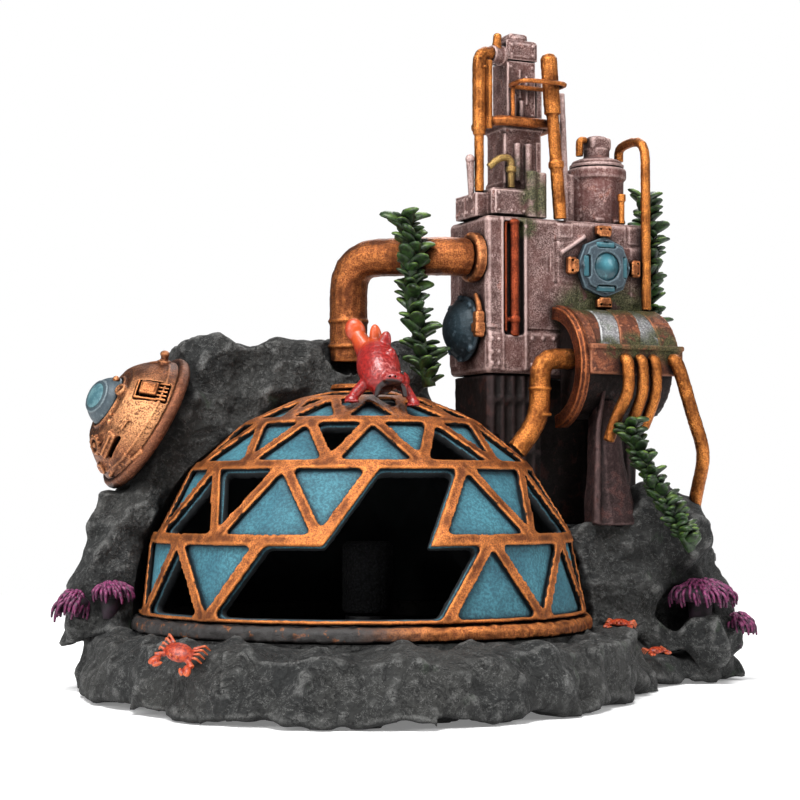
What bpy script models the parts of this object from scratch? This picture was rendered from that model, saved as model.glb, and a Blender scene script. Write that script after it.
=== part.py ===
"""Bubbling aquarium ornament: a latticed dome, a riveted machine tower and a pod on rock.

The origin is on the underside, X runs to the right, Y to the back and Z up.
Every size below is in millimetres; add_part scales it to metres.
"""
from math import asin, cos, pi, radians, sin

import bmesh
import bpy
from mathutils import Euler, Vector, noise

MM = 0.001
GAP = 0.3                                   # clearance left between touching pieces

LEDGE_TOP = 18.0                            # front ledge, on which the dome stands
SHELF_TOP = 9.5                             # lower shelf at the right
PLATEAU = 48.0                              # top of the right crag, under the tower

DOME_CENTRE = Vector((-11.2, 14.0, 22.5))
DOME_RADIUS = 66.8                          # over the ribs
RIB_DEPTH = 1.7
PANEL_DEPTH = 3.0
HALF_RIB = 1.8                              # half the width of a rib
RING_ELEVATIONS = (0.0, 20.0, 41.0, 58.5, 73.5, 82.0)
FIRST_AZIMUTH = -9.5                        # of net point 0, measured from the front
DIVISIONS = 24

TOWER_CORNER = (26.6, 25.0, 0.0)            # front left corner of the box
TOWER_TURN = 25.0                           # degrees about Z
BOX_WIDTH, BOX_DEPTH = 58.0, 26.0
BOX_BOTTOM, BOX_TOP = 95.0, 143.7
DRUM_RADIUS, DRUM_AXIS_Z = 16.0, 97.0

POD_CENTRE = Vector((-78.4, 24.0, 80.0))
POD_AXIS = Vector((-0.80, -0.35, 0.48)).normalized()

AIR_X, AIR_Y = -10.0, 36.0                  # where the air comes up through the floor
AIR_LINE_Z = 4.2

FINISHES = {                                # colour, roughness, metallic
    "rock": ((0.085, 0.085, 0.083), 0.9, 0.0),
    "copper": ((0.50, 0.17, 0.055), 0.42, 0.75),
    "panel": ((0.075, 0.24, 0.30), 0.75, 0.0),
    "mauve_metal": ((0.16, 0.105, 0.10), 0.6, 0.45),
    "dark_metal": ((0.045, 0.032, 0.032), 0.7, 0.2),
    "red_copper": ((0.26, 0.07, 0.05), 0.5, 0.55),
    "lens": ((0.08, 0.25, 0.32), 0.4, 0.0),
    "slate": ((0.10, 0.15, 0.20), 0.6, 0.1),
    "hose": ((0.02, 0.02, 0.022), 0.5, 0.0),
    "pumice": ((0.030, 0.032, 0.036), 0.95, 0.0),
    "red_skin": ((0.42, 0.03, 0.02), 0.4, 0.0),
    "orange_shell": ((0.62, 0.10, 0.03), 0.5, 0.0),
    "magenta": ((0.23, 0.02, 0.12), 0.6, 0.0),
    "leaf": ((0.035, 0.10, 0.02), 0.55, 0.0),
}

for leftover in list(bpy.data.objects):
    bpy.data.objects.remove(leftover, do_unlink=True)


# ---- building blocks ----

def make_finish(name, finish):
    """One Principled material for one part."""
    colour, roughness, metallic = FINISHES[finish]
    paint = bpy.data.materials.new(name + "_paint")
    paint.use_nodes = True
    shader = paint.node_tree.nodes["Principled BSDF"]
    shader.inputs["Base Color"].default_value = (*colour, 1.0)
    shader.inputs["Roughness"].default_value = roughness
    shader.inputs["Metallic"].default_value = metallic
    return paint


def add_object(name, mesh, at=(0, 0, 0), turn=(0, 0, 0), parent=None):
    """Link a bmesh in millimetres as an object in metres; turn is in degrees."""
    bmesh.ops.recalc_face_normals(mesh, faces=mesh.faces)
    bmesh.ops.scale(mesh, vec=(MM, MM, MM), verts=mesh.verts)
    data = bpy.data.meshes.new(name)
    mesh.to_mesh(data)
    mesh.free()
    added = bpy.data.objects.new(name, data)
    bpy.context.collection.objects.link(added)
    added.location = Vector(at) * MM
    added.rotation_euler = [radians(angle) for angle in turn]
    added.parent = parent
    return added


def add_part(name, mesh, finish, at=(0, 0, 0), turn=(0, 0, 0), parent=None, smooth=True):
    """Add a visible part with its own material."""
    part = add_object(name, mesh, at, turn, parent)
    part.data.materials.append(make_finish(name, finish))
    if smooth:
        part.data.shade_smooth()
        part.data.set_sharp_from_angle(angle=radians(35))
    return part


def add_cutter(name, mesh, at=(0, 0, 0), turn=(0, 0, 0), parent=None):
    """Add a helper shape that Boolean modifiers use."""
    cutter = add_object(name, mesh, at, turn, parent)
    cutter.hide_render = True
    cutter.display_type = "WIRE"
    return cutter


def combine(part, tools, operation="DIFFERENCE"):
    """Cut the tools from a part, or join them to it with UNION."""
    for tool in tools:
        step = part.modifiers.new(operation.lower() + "_" + tool.name, "BOOLEAN")
        step.operation = operation
        step.object = tool
        step.solver = "EXACT"


def join_rings(mesh, rings, closed=False):
    """Skin a list of vertex rings; a ring of one vertex is a pole."""
    pairs = list(zip(rings, rings[1:]))
    if closed:
        pairs.append((rings[-1], rings[0]))
    for lower, upper in pairs:
        count = max(len(lower), len(upper))
        for i in range(count):
            j = (i + 1) % count
            if len(lower) == 1:
                mesh.faces.new((lower[0], upper[j], upper[i]))
            elif len(upper) == 1:
                mesh.faces.new((lower[i], lower[j], upper[0]))
            else:
                mesh.faces.new((lower[i], lower[j], upper[j], upper[i]))


def turned(profile, sides=24, closed=False):
    """Solid of revolution about Z from (radius, height) points, bottom to top."""
    mesh = bmesh.new()
    rings = []
    for radius, height in profile:
        if radius == 0:
            rings.append([mesh.verts.new((0, 0, height))])
        else:
            angles = [2 * pi * i / sides for i in range(sides)]
            rings.append([mesh.verts.new((radius * cos(a), radius * sin(a), height)) for a in angles])
    join_rings(mesh, rings, closed)
    return mesh


def dome_profile(radius, height, steps=5, foot=0.0):
    """Profile of a spherical cap that stands on a short cylinder of height foot."""
    ball = (radius ** 2 + height ** 2) / (2 * height)
    start = asin(min(1.0, radius / ball))
    if height > radius:
        start = pi - start
    points = [(0, 0), (radius, 0)]
    if foot:
        points.append((radius, foot))
    for i in range(1, steps):
        angle = start * (1 - i / steps)
        points.append((ball * sin(angle), foot + height - ball + ball * cos(angle)))
    points.append((0, foot + height))
    return points


def block(size, centre=(0, 0, 0), bevel=0.0):
    """Box by its size and centre, with chamfered edges where bevel is given."""
    mesh = bmesh.new()
    bmesh.ops.create_cube(mesh, size=1.0)
    bmesh.ops.scale(mesh, vec=size, verts=mesh.verts)
    bmesh.ops.translate(mesh, vec=centre, verts=mesh.verts)
    if bevel:
        bmesh.ops.bevel(mesh, geom=mesh.edges[:], offset=bevel, segments=1, affect="EDGES")
    return mesh


def span_block(low, high, bevel=0.0):
    """Box by its lowest and highest corners."""
    low, high = Vector(low), Vector(high)
    return block(high - low, (low + high) / 2, bevel)


def stepped_block(centre, steps):
    """Square column from (half width, half depth, height) steps, bottom to top."""
    mesh = bmesh.new()
    corners = ((-1, -1), (1, -1), (1, 1), (-1, 1))
    rings = []
    for half_width, half_depth, height in steps:
        ring = [(centre[0] + sx * half_width, centre[1] + sy * half_depth, height) for sx, sy in corners]
        rings.append([mesh.verts.new(point) for point in ring])
    join_rings(mesh, rings)
    mesh.faces.new(rings[0])
    mesh.faces.new(rings[-1])
    return mesh


def prism(outline, start, end, axis):
    """Extrude an outline along X, Y or Z; its numbers fill the other two axes in order."""
    def place(point, level):
        values = list(point)
        values.insert("XYZ".index(axis), level)
        return values
    mesh = bmesh.new()
    rings = [[mesh.verts.new(place(point, level)) for point in outline] for level in (start, end)]
    join_rings(mesh, rings)
    mesh.faces.new(rings[0])
    mesh.faces.new(rings[1])
    return mesh


def arc(radius, start, end, steps, centre=(0, 0)):
    """Points of an arc, angles in degrees."""
    angles = [radians(start + (end - start) * i / steps) for i in range(steps + 1)]
    return [(centre[0] + radius * cos(a), centre[1] + radius * sin(a)) for a in angles]


def rounded_path(corners, bend, steps=4):
    """Corner points joined by straight runs with rounded bends."""
    corners = [Vector(corner) for corner in corners]
    path = [corners[0]]
    for before, corner, after in zip(corners, corners[1:], corners[2:]):
        reach_in = min(bend, (before - corner).length * 0.48)
        reach_out = min(bend, (after - corner).length * 0.48)
        first = corner + (before - corner).normalized() * reach_in
        last = corner + (after - corner).normalized() * reach_out
        for i in range(steps + 1):
            t = i / steps
            path.append(first * (1 - t) ** 2 + corner * 2 * t * (1 - t) + last * t ** 2)
    path.append(corners[-1])
    return path


def smooth_path(points, steps=4):
    """Catmull-Rom curve through the points."""
    points = [Vector(point) for point in points]
    padded = [2 * points[0] - points[1], *points, 2 * points[-1] - points[-2]]
    path = []
    for p0, p1, p2, p3 in zip(padded, padded[1:], padded[2:], padded[3:]):
        for i in range(steps):
            t = i / steps
            path.append(0.5 * (2 * p1 + (p2 - p0) * t + (2 * p0 - 5 * p1 + 4 * p2 - p3) * t ** 2
                               + (3 * p1 - p0 - 3 * p2 + p3) * t ** 3))
    path.append(points[-1])
    return path


def spread(values, count):
    """Stretch a short list of values evenly over count places."""
    spread_values = []
    for i in range(count):
        place = i / (count - 1) * (len(values) - 1)
        low = min(int(place), len(values) - 2)
        share = place - low
        spread_values.append(values[low] * (1 - share) + values[low + 1] * share)
    return spread_values


def swept(path, radii, sides=10, loop=False, bore=0.0):
    """Round bar or tube along a path; radii is one radius or one for each path point."""
    path = [Vector(point) for point in path]
    count = len(path)
    if not isinstance(radii, (list, tuple)):
        radii = [radii] * count
    tangents = []
    for i in range(count):
        ahead = path[(i + 1) % count] if loop else path[min(i + 1, count - 1)]
        behind = path[i - 1] if loop else path[max(i - 1, 0)]
        tangents.append((ahead - behind).normalized())
    side = tangents[0].orthogonal().normalized()
    mesh = bmesh.new()
    outer, inner = [], []
    for point, tangent, radius in zip(path, tangents, radii):
        side = (side - tangent * side.dot(tangent)).normalized()
        other = tangent.cross(side)
        spokes = [side * cos(2 * pi * k / sides) + other * sin(2 * pi * k / sides) for k in range(sides)]
        outer.append([mesh.verts.new(point + spoke * radius) for spoke in spokes])
        if bore:
            inner.append([mesh.verts.new(point + spoke * bore) for spoke in spokes])
    join_rings(mesh, outer, loop)
    if bore:
        join_rings(mesh, inner)
        join_rings(mesh, [outer[0], inner[0]])
        join_rings(mesh, [outer[-1], inner[-1]])
    elif not loop:
        mesh.faces.new(outer[0])
        mesh.faces.new(outer[-1])
    return mesh


def resample(outline, count):
    """Spread count points evenly along a closed outline."""
    corners = [Vector(point) for point in outline]
    lengths = [(b - a).length for a, b in zip(corners, corners[1:] + corners[:1])]
    total = sum(lengths)
    points = []
    edge, passed = 0, 0.0
    for i in range(count):
        target = total * i / count
        while passed + lengths[edge] < target:
            passed += lengths[edge]
            edge += 1
        share = (target - passed) / lengths[edge]
        points.append(corners[edge].lerp(corners[(edge + 1) % len(corners)], share))
    return points


def ripple(spot):
    """Smooth vector noise; each component reads its own part of the noise."""
    return Vector([noise.noise(spot + Vector((offset, -offset, 2 * offset))) for offset in (0, 31.4, 57.9)])


def rock(foot, crest, foot_z, crest_z, seed, around=40, levels=6, rough=1.6, lean=1.0, crown=0.0):
    """Rock mass between two outlines, with a flat underside and a broken surface.

    lean above 1 keeps the sides steep low down; crown is how far the middle of the top rises.
    """
    foot, crest = resample(foot, around), resample(crest, around)
    centre = sum(crest, Vector((0, 0))) / around
    shift = Vector((seed * 7.3, seed * 3.1, seed * 5.7))
    mesh = bmesh.new()

    def place(point, height, roughness):
        spot = Vector((point.x, point.y, height))
        spot += roughness * ripple(spot * 0.11 + shift)
        spot += 0.5 * roughness * ripple(spot * 0.31 + shift)
        return spot

    rings = []
    for level in range(levels + 1):
        t = level / levels
        blend = t ** lean
        height = foot_z + (crest_z - foot_z) * t
        ring = [place(a.lerp(b, blend), height, rough) for a, b in zip(foot, crest)]
        if level == 0:
            for spot in ring:
                spot.z = foot_z
        rings.append(ring)
    for share in (0.82, 0.58, 0.3):
        height = crest_z + crown * (1 - share)
        rings.append([place(centre.lerp(point, share), height, rough) for point in crest])
    rings = [[mesh.verts.new(spot) for spot in ring] for ring in rings]
    rings.append([mesh.verts.new((centre.x, centre.y, crest_z + crown))])
    rings.insert(0, [mesh.verts.new((centre.x, centre.y, foot_z))])
    join_rings(mesh, rings)
    return mesh


tower = bpy.data.objects.new("tower_frame", None)
tower.location = Vector(TOWER_CORNER) * MM
tower.rotation_euler.z = radians(TOWER_TURN)
bpy.context.collection.objects.link(tower)

pod = bpy.data.objects.new("pod_frame", None)
pod.location = POD_CENTRE * MM
pod.rotation_euler = POD_AXIS.to_track_quat("Z", "Y").to_euler()
bpy.context.collection.objects.link(pod)


def from_tower(point):
    """World place of a point given in the tower's frame."""
    return Vector(TOWER_CORNER) + Euler((0, 0, radians(TOWER_TURN))).to_matrix() @ Vector(point)


# ---- rock base: the front ledge, the lower shelf and the duct for the air line ----
POCKET_RADIUS = DOME_RADIUS + 2.9           # room for the dome in the crags
POCKET_SIDES = 24
DUCT_HALF = 3.9

ledge_foot = ((-95, 4), (-88, -28), (-71, -55), (-50, -82), (-24, -92), (7, -94), (30, -79), (47, -62),
              (64, -34), (70, -8), (73, 12), (74, 60), (70, 86), (20, 90), (-30, 90), (-70, 84),
              (-92, 60), (-99, 30))
ledge_crest = ((-91, 4), (-82, -24), (-66, -50), (-46, -74), (-22, -84), (5, -86), (27, -73), (43, -57),
               (60, -32), (68, -8), (71, 12), (72, 60), (68, 84), (20, 88), (-30, 88), (-68, 82),
               (-90, 60), (-97, 30))
base_mesh = rock(ledge_foot, ledge_crest, 0.0, LEDGE_TOP, seed=1, around=56, levels=3, rough=1.3, lean=1.6)
for vertex in base_mesh.verts:
    if vertex.co.z > LEDGE_TOP - 2.0:
        vertex.co.z = LEDGE_TOP
rock_base = add_part("rock_base", base_mesh, "rock", smooth=False)

shelf_foot = ((60, 6), (76, 3), (78, 16), (84, 27), (100, 34), (109, 48), (111, 66), (95, 82), (60, 86))
shelf_crest = ((60, 8), (74, 5), (76, 17), (83, 29), (99, 36), (106, 49), (108, 66), (93, 80), (60, 84))
shelf_mesh = rock(shelf_foot, shelf_crest, 0.0, SHELF_TOP, seed=2, around=40, levels=3, rough=1.0, lean=1.6)
for vertex in shelf_mesh.verts:
    if vertex.co.z > SHELF_TOP - 1.6:
        vertex.co.z = SHELF_TOP
shelf = add_cutter("shelf_rock", shelf_mesh)
combine(rock_base, [shelf], "UNION")

duct = add_cutter("air_duct", span_block((AIR_X - DUCT_HALF, AIR_Y - DUCT_HALF, -5),
                                         (AIR_X + DUCT_HALF, 100, 2 * AIR_LINE_Z)))
riser_hole = add_cutter("riser_hole", turned(((0, 5), (DUCT_HALF, 5), (DUCT_HALF, 30), (0, 30)), 16),
                        at=(AIR_X, AIR_Y, 0))
combine(rock_base, [duct, riser_hole])


# ---- left crag: the tall mass behind and left of the dome, which carries the pod ----
dome_pocket_mesh = bmesh.new()
bmesh.ops.create_uvsphere(dome_pocket_mesh, u_segments=POCKET_SIDES, v_segments=POCKET_SIDES // 2,
                          radius=POCKET_RADIUS)
dome_pocket = add_cutter("dome_pocket", dome_pocket_mesh, at=DOME_CENTRE)

MAIN_PIPE_FOOT = (-16.2, 40.0)
MAIN_PIPE_RADIUS = 6.0
POD_SEAT_RADIUS = 22.3

left_foot = ((-100, 3), (-84, -4), (-72, 4), (-50, 24), (-10, 40), (11, 50), (13, 72), (2, 86), (-30, 87),
             (-70, 82), (-92, 62), (-101, 32))
left_crest = ((-70, 34), (-66, 32), (-58, 31), (-44, 32), (-12, 33), (7, 42), (10, 62), (0, 78), (-28, 80),
              (-58, 76), (-68, 62), (-71, 46))
left_crag = add_part("left_crag",
                     rock(left_foot, left_crest, LEDGE_TOP + GAP, 105.0, seed=3, around=40, levels=8,
                          rough=2.6, lean=1.35, crown=3.0),
                     "rock", smooth=False)
pod_seat = add_cutter("pod_seat", turned(((0, -3.3), (POD_SEAT_RADIUS, -3.3), (POD_SEAT_RADIUS + 12, 45),
                                          (0, 45)), 24), parent=pod)
pipe_socket = add_cutter("pipe_socket", turned(((0, 98), (MAIN_PIPE_RADIUS + 0.6, 98),
                                                (MAIN_PIPE_RADIUS + 0.6, 130), (0, 130)), 16),
                         at=(*MAIN_PIPE_FOOT, 0))
left_ledge = add_cutter("left_ledge", span_block((-120, -30, 21.2), (-76, 11, 33)))
combine(left_crag, [dome_pocket, pod_seat, pipe_socket, left_ledge])


# ---- right crag: lower mass with a plateau for the tower and a hollow with anemones ----
right_foot = ((14, 56), (40, 22), (62, 22), (72, 24), (80, 29), (92, 38), (105, 44), (109, 56), (108, 68),
              (92, 80), (60, 84), (16, 84))
right_crest = ((18, 56), (42, 26), (62, 25), (72, 26), (80, 31), (88, 38), (95, 46), (97, 56), (96, 66),
               (86, 76), (58, 80), (20, 80))
LONG_PIPE_END = Vector((91.0, 45.0, 46.0))
ANEMONE_RIGHT = (93.0, 34.0)
ANEMONE_RIGHT_SMALL = (105.5, 41.0)

right_crag = add_part("right_crag",
                      rock(right_foot, right_crest, SHELF_TOP + GAP, 50.0, seed=5, around=40, levels=5,
                           rough=2.2, lean=1.5, crown=6.0),
                      "rock", smooth=False)
ledge_step = add_cutter("ledge_step", span_block((-20, -20, 0), (74 + 2.5, 120, LEDGE_TOP + GAP)))
tower_seat = add_cutter("tower_seat", span_block((-3, -24, PLATEAU), (60, 30, 100)), parent=tower)
hollow = add_cutter("anemone_hollow", turned(((0, 0), (13, 0), (13, 26), (7, 33), (0, 34)), 20),
                    at=(*ANEMONE_RIGHT, 0))
small_hollow = add_cutter("small_hollow", turned(((0, 0), (6.5, 0), (6.5, 18), (3, 23), (0, 24)), 16),
                          at=(*ANEMONE_RIGHT_SMALL, 0))
long_pipe_socket = add_cutter("long_pipe_socket",
                              swept((LONG_PIPE_END + Vector((0, 4, -5)), LONG_PIPE_END + Vector((1, -12, 24))),
                                    3.9, 12))
combine(right_crag, [ledge_step, dome_pocket, tower_seat, hollow, small_hollow, long_pipe_socket])


# ---- dome: copper sill, copper lattice, teal panels behind it, and a small crown ----
def net_point(ring, place):
    """Unit vector to one point of the net; azimuth is measured from the front to the right."""
    azimuth = radians(FIRST_AZIMUTH + 360 / DIVISIONS * place)
    elevation = radians(RING_ELEVATIONS[ring])
    return Vector((sin(azimuth) * cos(elevation), -cos(azimuth) * cos(elevation), sin(elevation)))


def up_cell(band, k):
    """Triangle standing on its base, as (ring, place) points, counter-clockwise from outside."""
    return [(band, 2 * k), (band, 2 * k + 1), (band, 2 * k + 2), (band + 1, 2 * k + 1)]


def down_cell(band, k):
    """Triangle hanging point down."""
    return [(band, 2 * k), (band + 1, 2 * k + 1), (band + 1, 2 * k), (band + 1, 2 * k - 1)]


OPEN_CELLS = {("up", 0, -2), ("up", 1, -2), ("down", 1, -1), ("up", 1, 2),
              ("down", 2, 0), ("up", 2, 1)}
ENTRANCE_OUTLINE = [(0, -2), (0, -1), (0, 0), (0, 1), (0, 2), (1, 3), (1, 2), (2, 3), (2, 2), (2, 1),
                    (1, 0), (1, -1)]
ENTRANCE_CELLS = {("up", 0, -1), ("down", 0, 0), ("up", 0, 0), ("down", 0, 1), ("up", 1, 0),
                  ("down", 1, 1)}


def dome_cells():
    """Each cell as its outline and whether it is open."""
    cells = [(ENTRANCE_OUTLINE, True)]
    half = DIVISIONS // 2
    for band in range(len(RING_ELEVATIONS) - 2):
        for k in range(-half // 2, half // 2):
            for kind, outline in (("up", up_cell(band, k)), ("down", down_cell(band, k))):
                if (kind, band, k) not in ENTRANCE_CELLS:
                    cells.append((outline, (kind, band, k) in OPEN_CELLS))
    top = len(RING_ELEVATIONS) - 1
    for k in range(0, DIVISIONS, 4):
        lower = [(top - 1, k + i) for i in range(5)]
        upper = [(top, k + i) for i in (4, 2, 0)]
        cells.append((lower + upper, False))
    return cells


def inset(points, width):
    """Move a cell's outline inward by width, along the sphere."""
    inner = []
    for before, point, after in zip(points[-1:] + points[:-1], points, points[1:] + points[:1]):
        normal = point.normalized()
        side_in = normal.cross(point - before).normalized()
        side_out = normal.cross(after - point).normalized()
        step = (side_in + side_out) * (width / (1 + side_in.dot(side_out)))
        inner.append((point + step).normalized() * point.length)
    return inner


def dome_skin(outer_radius, depth, panels):
    """Ribs of every cell, with its panel unless it is open, thickened toward the centre."""
    mesh = bmesh.new()
    for outline, is_open in dome_cells():
        points = [net_point(*place) * outer_radius for place in outline]
        inner = inset(points, HALF_RIB)
        outer_ring = [mesh.verts.new(point) for point in points]
        inner_ring = [mesh.verts.new(point) for point in inner]
        join_rings(mesh, [outer_ring, inner_ring])
        if panels and not is_open:
            mesh.faces.new(inner_ring)
    bmesh.ops.remove_doubles(mesh, verts=mesh.verts, dist=0.01)
    bmesh.ops.triangulate(mesh, faces=mesh.faces)
    rim = [edge for edge in mesh.edges if edge.is_boundary]
    skin = mesh.faces[:]
    copied = bmesh.ops.duplicate(mesh, geom=mesh.verts[:] + mesh.edges[:] + skin)
    twins = copied["vert_map"]
    inner_faces = [item for item in copied["geom"] if isinstance(item, bmesh.types.BMFace)]
    bmesh.ops.reverse_faces(mesh, faces=inner_faces)
    inner_verts = [item for item in copied["geom"] if isinstance(item, bmesh.types.BMVert)]
    shrink = (outer_radius - depth) / outer_radius
    bmesh.ops.scale(mesh, vec=(shrink, shrink, shrink), verts=inner_verts)
    for edge in rim:
        first, second = edge.verts
        mesh.faces.new((first, second, twins[second], twins[first]))
    return mesh


SILL_FOOT, SILL_TOP = LEDGE_TOP + GAP, DOME_CENTRE.z - GAP
SILL_INNER, SILL_OUTER = DOME_RADIUS - 6.0, DOME_RADIUS + 1.5
add_part("dome_sill_ring",
         turned(((SILL_INNER, SILL_FOOT), (SILL_OUTER, SILL_FOOT), (SILL_OUTER, SILL_TOP - 1.1),
                 (SILL_OUTER - 0.9, SILL_TOP), (SILL_INNER, SILL_TOP)), 48, closed=True),
         "copper", at=(DOME_CENTRE.x, DOME_CENTRE.y, 0))
add_part("dome_lattice", dome_skin(DOME_RADIUS, RIB_DEPTH, False), "copper", at=DOME_CENTRE, smooth=False)
add_part("dome_shell", dome_skin(DOME_RADIUS - RIB_DEPTH - GAP, PANEL_DEPTH, True), "panel",
         at=DOME_CENTRE, smooth=False)
crown_z = DOME_RADIUS * sin(radians(RING_ELEVATIONS[-1])) + GAP
crown_radius = DOME_RADIUS * cos(radians(RING_ELEVATIONS[-1]))
add_part("dome_crown",
         turned(((0, crown_z), (crown_radius + 0.6, crown_z), (crown_radius, crown_z + 1.5),
                 (0, crown_z + 2.0)), 24),
         "copper", at=DOME_CENTRE)


# ---- air works: inlet barb, line in the duct, riser with a barb, and the stone that lifts off ----
BARB_RADIUS = 2.4
AIR_BORE = 1.2
STONE_FOOT = 21.3
STONE_HEIGHT = 22.0
RISER_TOP = STONE_FOOT + 8.0

inlet = [(AIR_X, y, AIR_LINE_Z) for y in (70.3, 76.0, 76.4, 79.0, 79.4, 82.0, 82.6, 84.6, 85.2, 87.4)]
add_part("air_inlet_barb",
         swept(inlet, (2.9, 2.9, 3.6, 3.6, 1.9, 1.9, BARB_RADIUS, 1.9, BARB_RADIUS, 1.9), 12, bore=AIR_BORE),
         "hose")
add_part("air_line", swept([(AIR_X, AIR_Y + 10.3, AIR_LINE_Z), (AIR_X, 70, AIR_LINE_Z)], 3.0, 12, bore=2.0),
         "hose")
elbow = rounded_path([(AIR_X, AIR_Y + 10, AIR_LINE_Z), (AIR_X, AIR_Y, AIR_LINE_Z),
                      (AIR_X, AIR_Y, LEDGE_TOP)], 5.0)
riser_levels = ((LEDGE_TOP + GAP, 3.2), (LEDGE_TOP + GAP + 0.1, 7.0), (STONE_FOOT - 0.9, 7.0),
                (STONE_FOOT - 0.8, BARB_RADIUS), (RISER_TOP - 2, BARB_RADIUS), (RISER_TOP, 1.8))
elbow_radii = [3.2] * len(elbow) + [radius for _, radius in riser_levels]
elbow += [(AIR_X, AIR_Y, level) for level, _ in riser_levels]
add_part("air_elbow", swept(elbow, elbow_radii, 12, bore=AIR_BORE), "hose")
add_part("air_stone",
         turned(((0, 10), (2.7, 10), (2.7, 0), (7.4, 0), (8, 1), (8, STONE_HEIGHT - 1.5),
                 (6.6, STONE_HEIGHT), (0, STONE_HEIGHT)), 16),
         "pumice", at=(AIR_X, AIR_Y, STONE_FOOT))


# ---- tower footing: columns round a dark passage, with the cracked leg in front ----
footing_outline = ((1, 2), (20, 2), (20, 18), (45, 18), (45, 6), (57, 6), (57, 24), (1, 24))
tower_footing = add_part("tower_footing", prism(footing_outline, PLATEAU + GAP, BOX_BOTTOM - GAP, "Z"),
                         "dark_metal", parent=tower, smooth=False)
combine(tower_footing, [dome_pocket])

leg_outline = [(1, -0.6), (1, 0.6), (0.5, 1), (-0.5, 1), (-1, 0.6), (-1, -0.6), (-0.5, -1), (0.5, -1)]
leg_foot = [(38.2 + 8.0 * u, -10.0 + 7.0 * v) for u, v in leg_outline]
leg_crest = [(35.6 + 3.6 * u, -8.6 + 3.8 * v) for u, v in leg_outline]
leg_mesh = rock(leg_foot, leg_crest, PLATEAU + GAP, 92.0, seed=7, around=16, levels=7, rough=0.7, lean=0.6)
tower_leg = add_part("tower_leg", leg_mesh, "mauve_metal", parent=tower, smooth=False)
drum_room = add_cutter("drum_room", prism(arc(DRUM_RADIUS + 0.5, 0, 345, 23, (0, DRUM_AXIS_Z)), 10, 70, "X"),
                       parent=tower)
combine(tower_leg, [drum_room])


# ---- tower box with a recess for the corner pipe ----
tower_box = add_part("tower_box",
                     span_block((0, 0, BOX_BOTTOM), (BOX_WIDTH, BOX_DEPTH, BOX_TOP), 1.0),
                     "mauve_metal", parent=tower, smooth=False)
recess = add_cutter("recess", span_block((5.8, -5, BOX_BOTTOM + 12), (13, 2.5, BOX_TOP - 1.5)), parent=tower)
combine(tower_box, [recess])
add_part("corner_pipe",
         swept([(9.9, 0.9, z) for z in (110.4, 116, 116.2, 118.2, 118.4, 134, 134.2, 136.2, 136.4, 141.8)],
               (1.1, 1.1, 1.3, 1.3, 1.1, 1.1, 1.3, 1.3, 1.1, 1.1), 8),
         "red_copper", parent=tower)


# ---- drum on the front of the box, its hood with a fascia, and the half ring at its end ----
HOOD_INNER, HOOD_OUTER = DRUM_RADIUS + 0.4, DRUM_RADIUS + 2.4
HOOD_LEFT, HOOD_RIGHT = 25.0, 57.7
FASCIA_FRONT = -19.5

drum_outline = [(min(y, -GAP), z) for y, z in arc(DRUM_RADIUS, 90, 270, 14, (0, DRUM_AXIS_Z))]
add_part("tower_drum", prism(drum_outline, 25.6, 57.0, "X"), "dark_metal", parent=tower)
hood_arc = [(min(y, -GAP), z) for y, z in arc(HOOD_OUTER, 90, 162, 8, (0, DRUM_AXIS_Z))]
hood_inside = [(min(y, -GAP), z) for y, z in arc(HOOD_INNER, 172, 90, 8, (0, DRUM_AXIS_Z))]
fascia = [(FASCIA_FRONT, 102.5), (FASCIA_FRONT, 95.0), (-16.6, 95.0)]
add_part("drum_hood", prism(hood_arc + fascia + hood_inside, HOOD_LEFT, HOOD_RIGHT, "X"), "red_copper",
         parent=tower)
ring_outer = arc(19.0, 92, 262, 16, (0, DRUM_AXIS_Z))
ring_inner = arc(15.0, 262, 92, 16, (0, DRUM_AXIS_Z))
add_part("drum_end_ring", prism(ring_outer + ring_inner, 22.3, HOOD_LEFT - GAP, "X"), "red_copper",
         parent=tower)


# ---- roof: stepped plinth, chimney with its head, and the pipes beside it ----
ROOF = BOX_TOP + GAP
PLINTH_TOP = 153.0
COLUMN_A, COLUMN_B = 17.2, 14.0
COLUMN_STEP = 174.4
COLUMN_TOP = 194.7

roof_plinth = add_part("roof_plinth", span_block((3.6, 3, ROOF), (22.4, 23, PLINTH_TOP), 0.8), "mauve_metal",
                       parent=tower, smooth=False)
plinth_wing = add_cutter("plinth_wing", span_block((-0.6, 6, ROOF), (8, 20, 151.5)), parent=tower)
combine(roof_plinth, [plinth_wing], "UNION")

add_part("stack_column",
         stepped_block((COLUMN_A, COLUMN_B),
                       ((7, 6.5, PLINTH_TOP + GAP), (7, 6.5, 156), (6.5, 6, 156.5), (6.5, 6, 172),
                        (7, 6.5, 172.5), (7, 6.5, COLUMN_STEP), (5, 5, COLUMN_STEP + 0.6),
                        (5, 5, COLUMN_TOP))),
         "mauve_metal", parent=tower, smooth=False)
add_part("stack_cap",
         stepped_block((COLUMN_A, COLUMN_B),
                       ((5.6, 5.4, COLUMN_TOP + GAP), (5.6, 5.4, 200.6), (5.0, 4.8, 201.4),
                        (3.2, 3.2, 201.6), (3.2, 3.2, 203.4), (2.6, 2.6, 204))),
         "mauve_metal", parent=tower, smooth=False)

LEFT_PIPE = (1.6, 8.0)
left_pipe = rounded_path([(*LEFT_PIPE, 171.4), (*LEFT_PIPE, 196.3), (COLUMN_A - 6.6, 11, 196.3)], 4.5)
left_pipe_foot = ((151.8, 1.55), (169.8, 1.55), (170.0, 2.0), (171.2, 2.0))
left_pipe_radii = [radius for _, radius in left_pipe_foot] + [2.15] * len(left_pipe)
left_pipe = [(*LEFT_PIPE, z) for z, _ in left_pipe_foot] + left_pipe
add_part("stack_pipe_left", swept(left_pipe, left_pipe_radii, 10), "copper", parent=tower)

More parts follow.
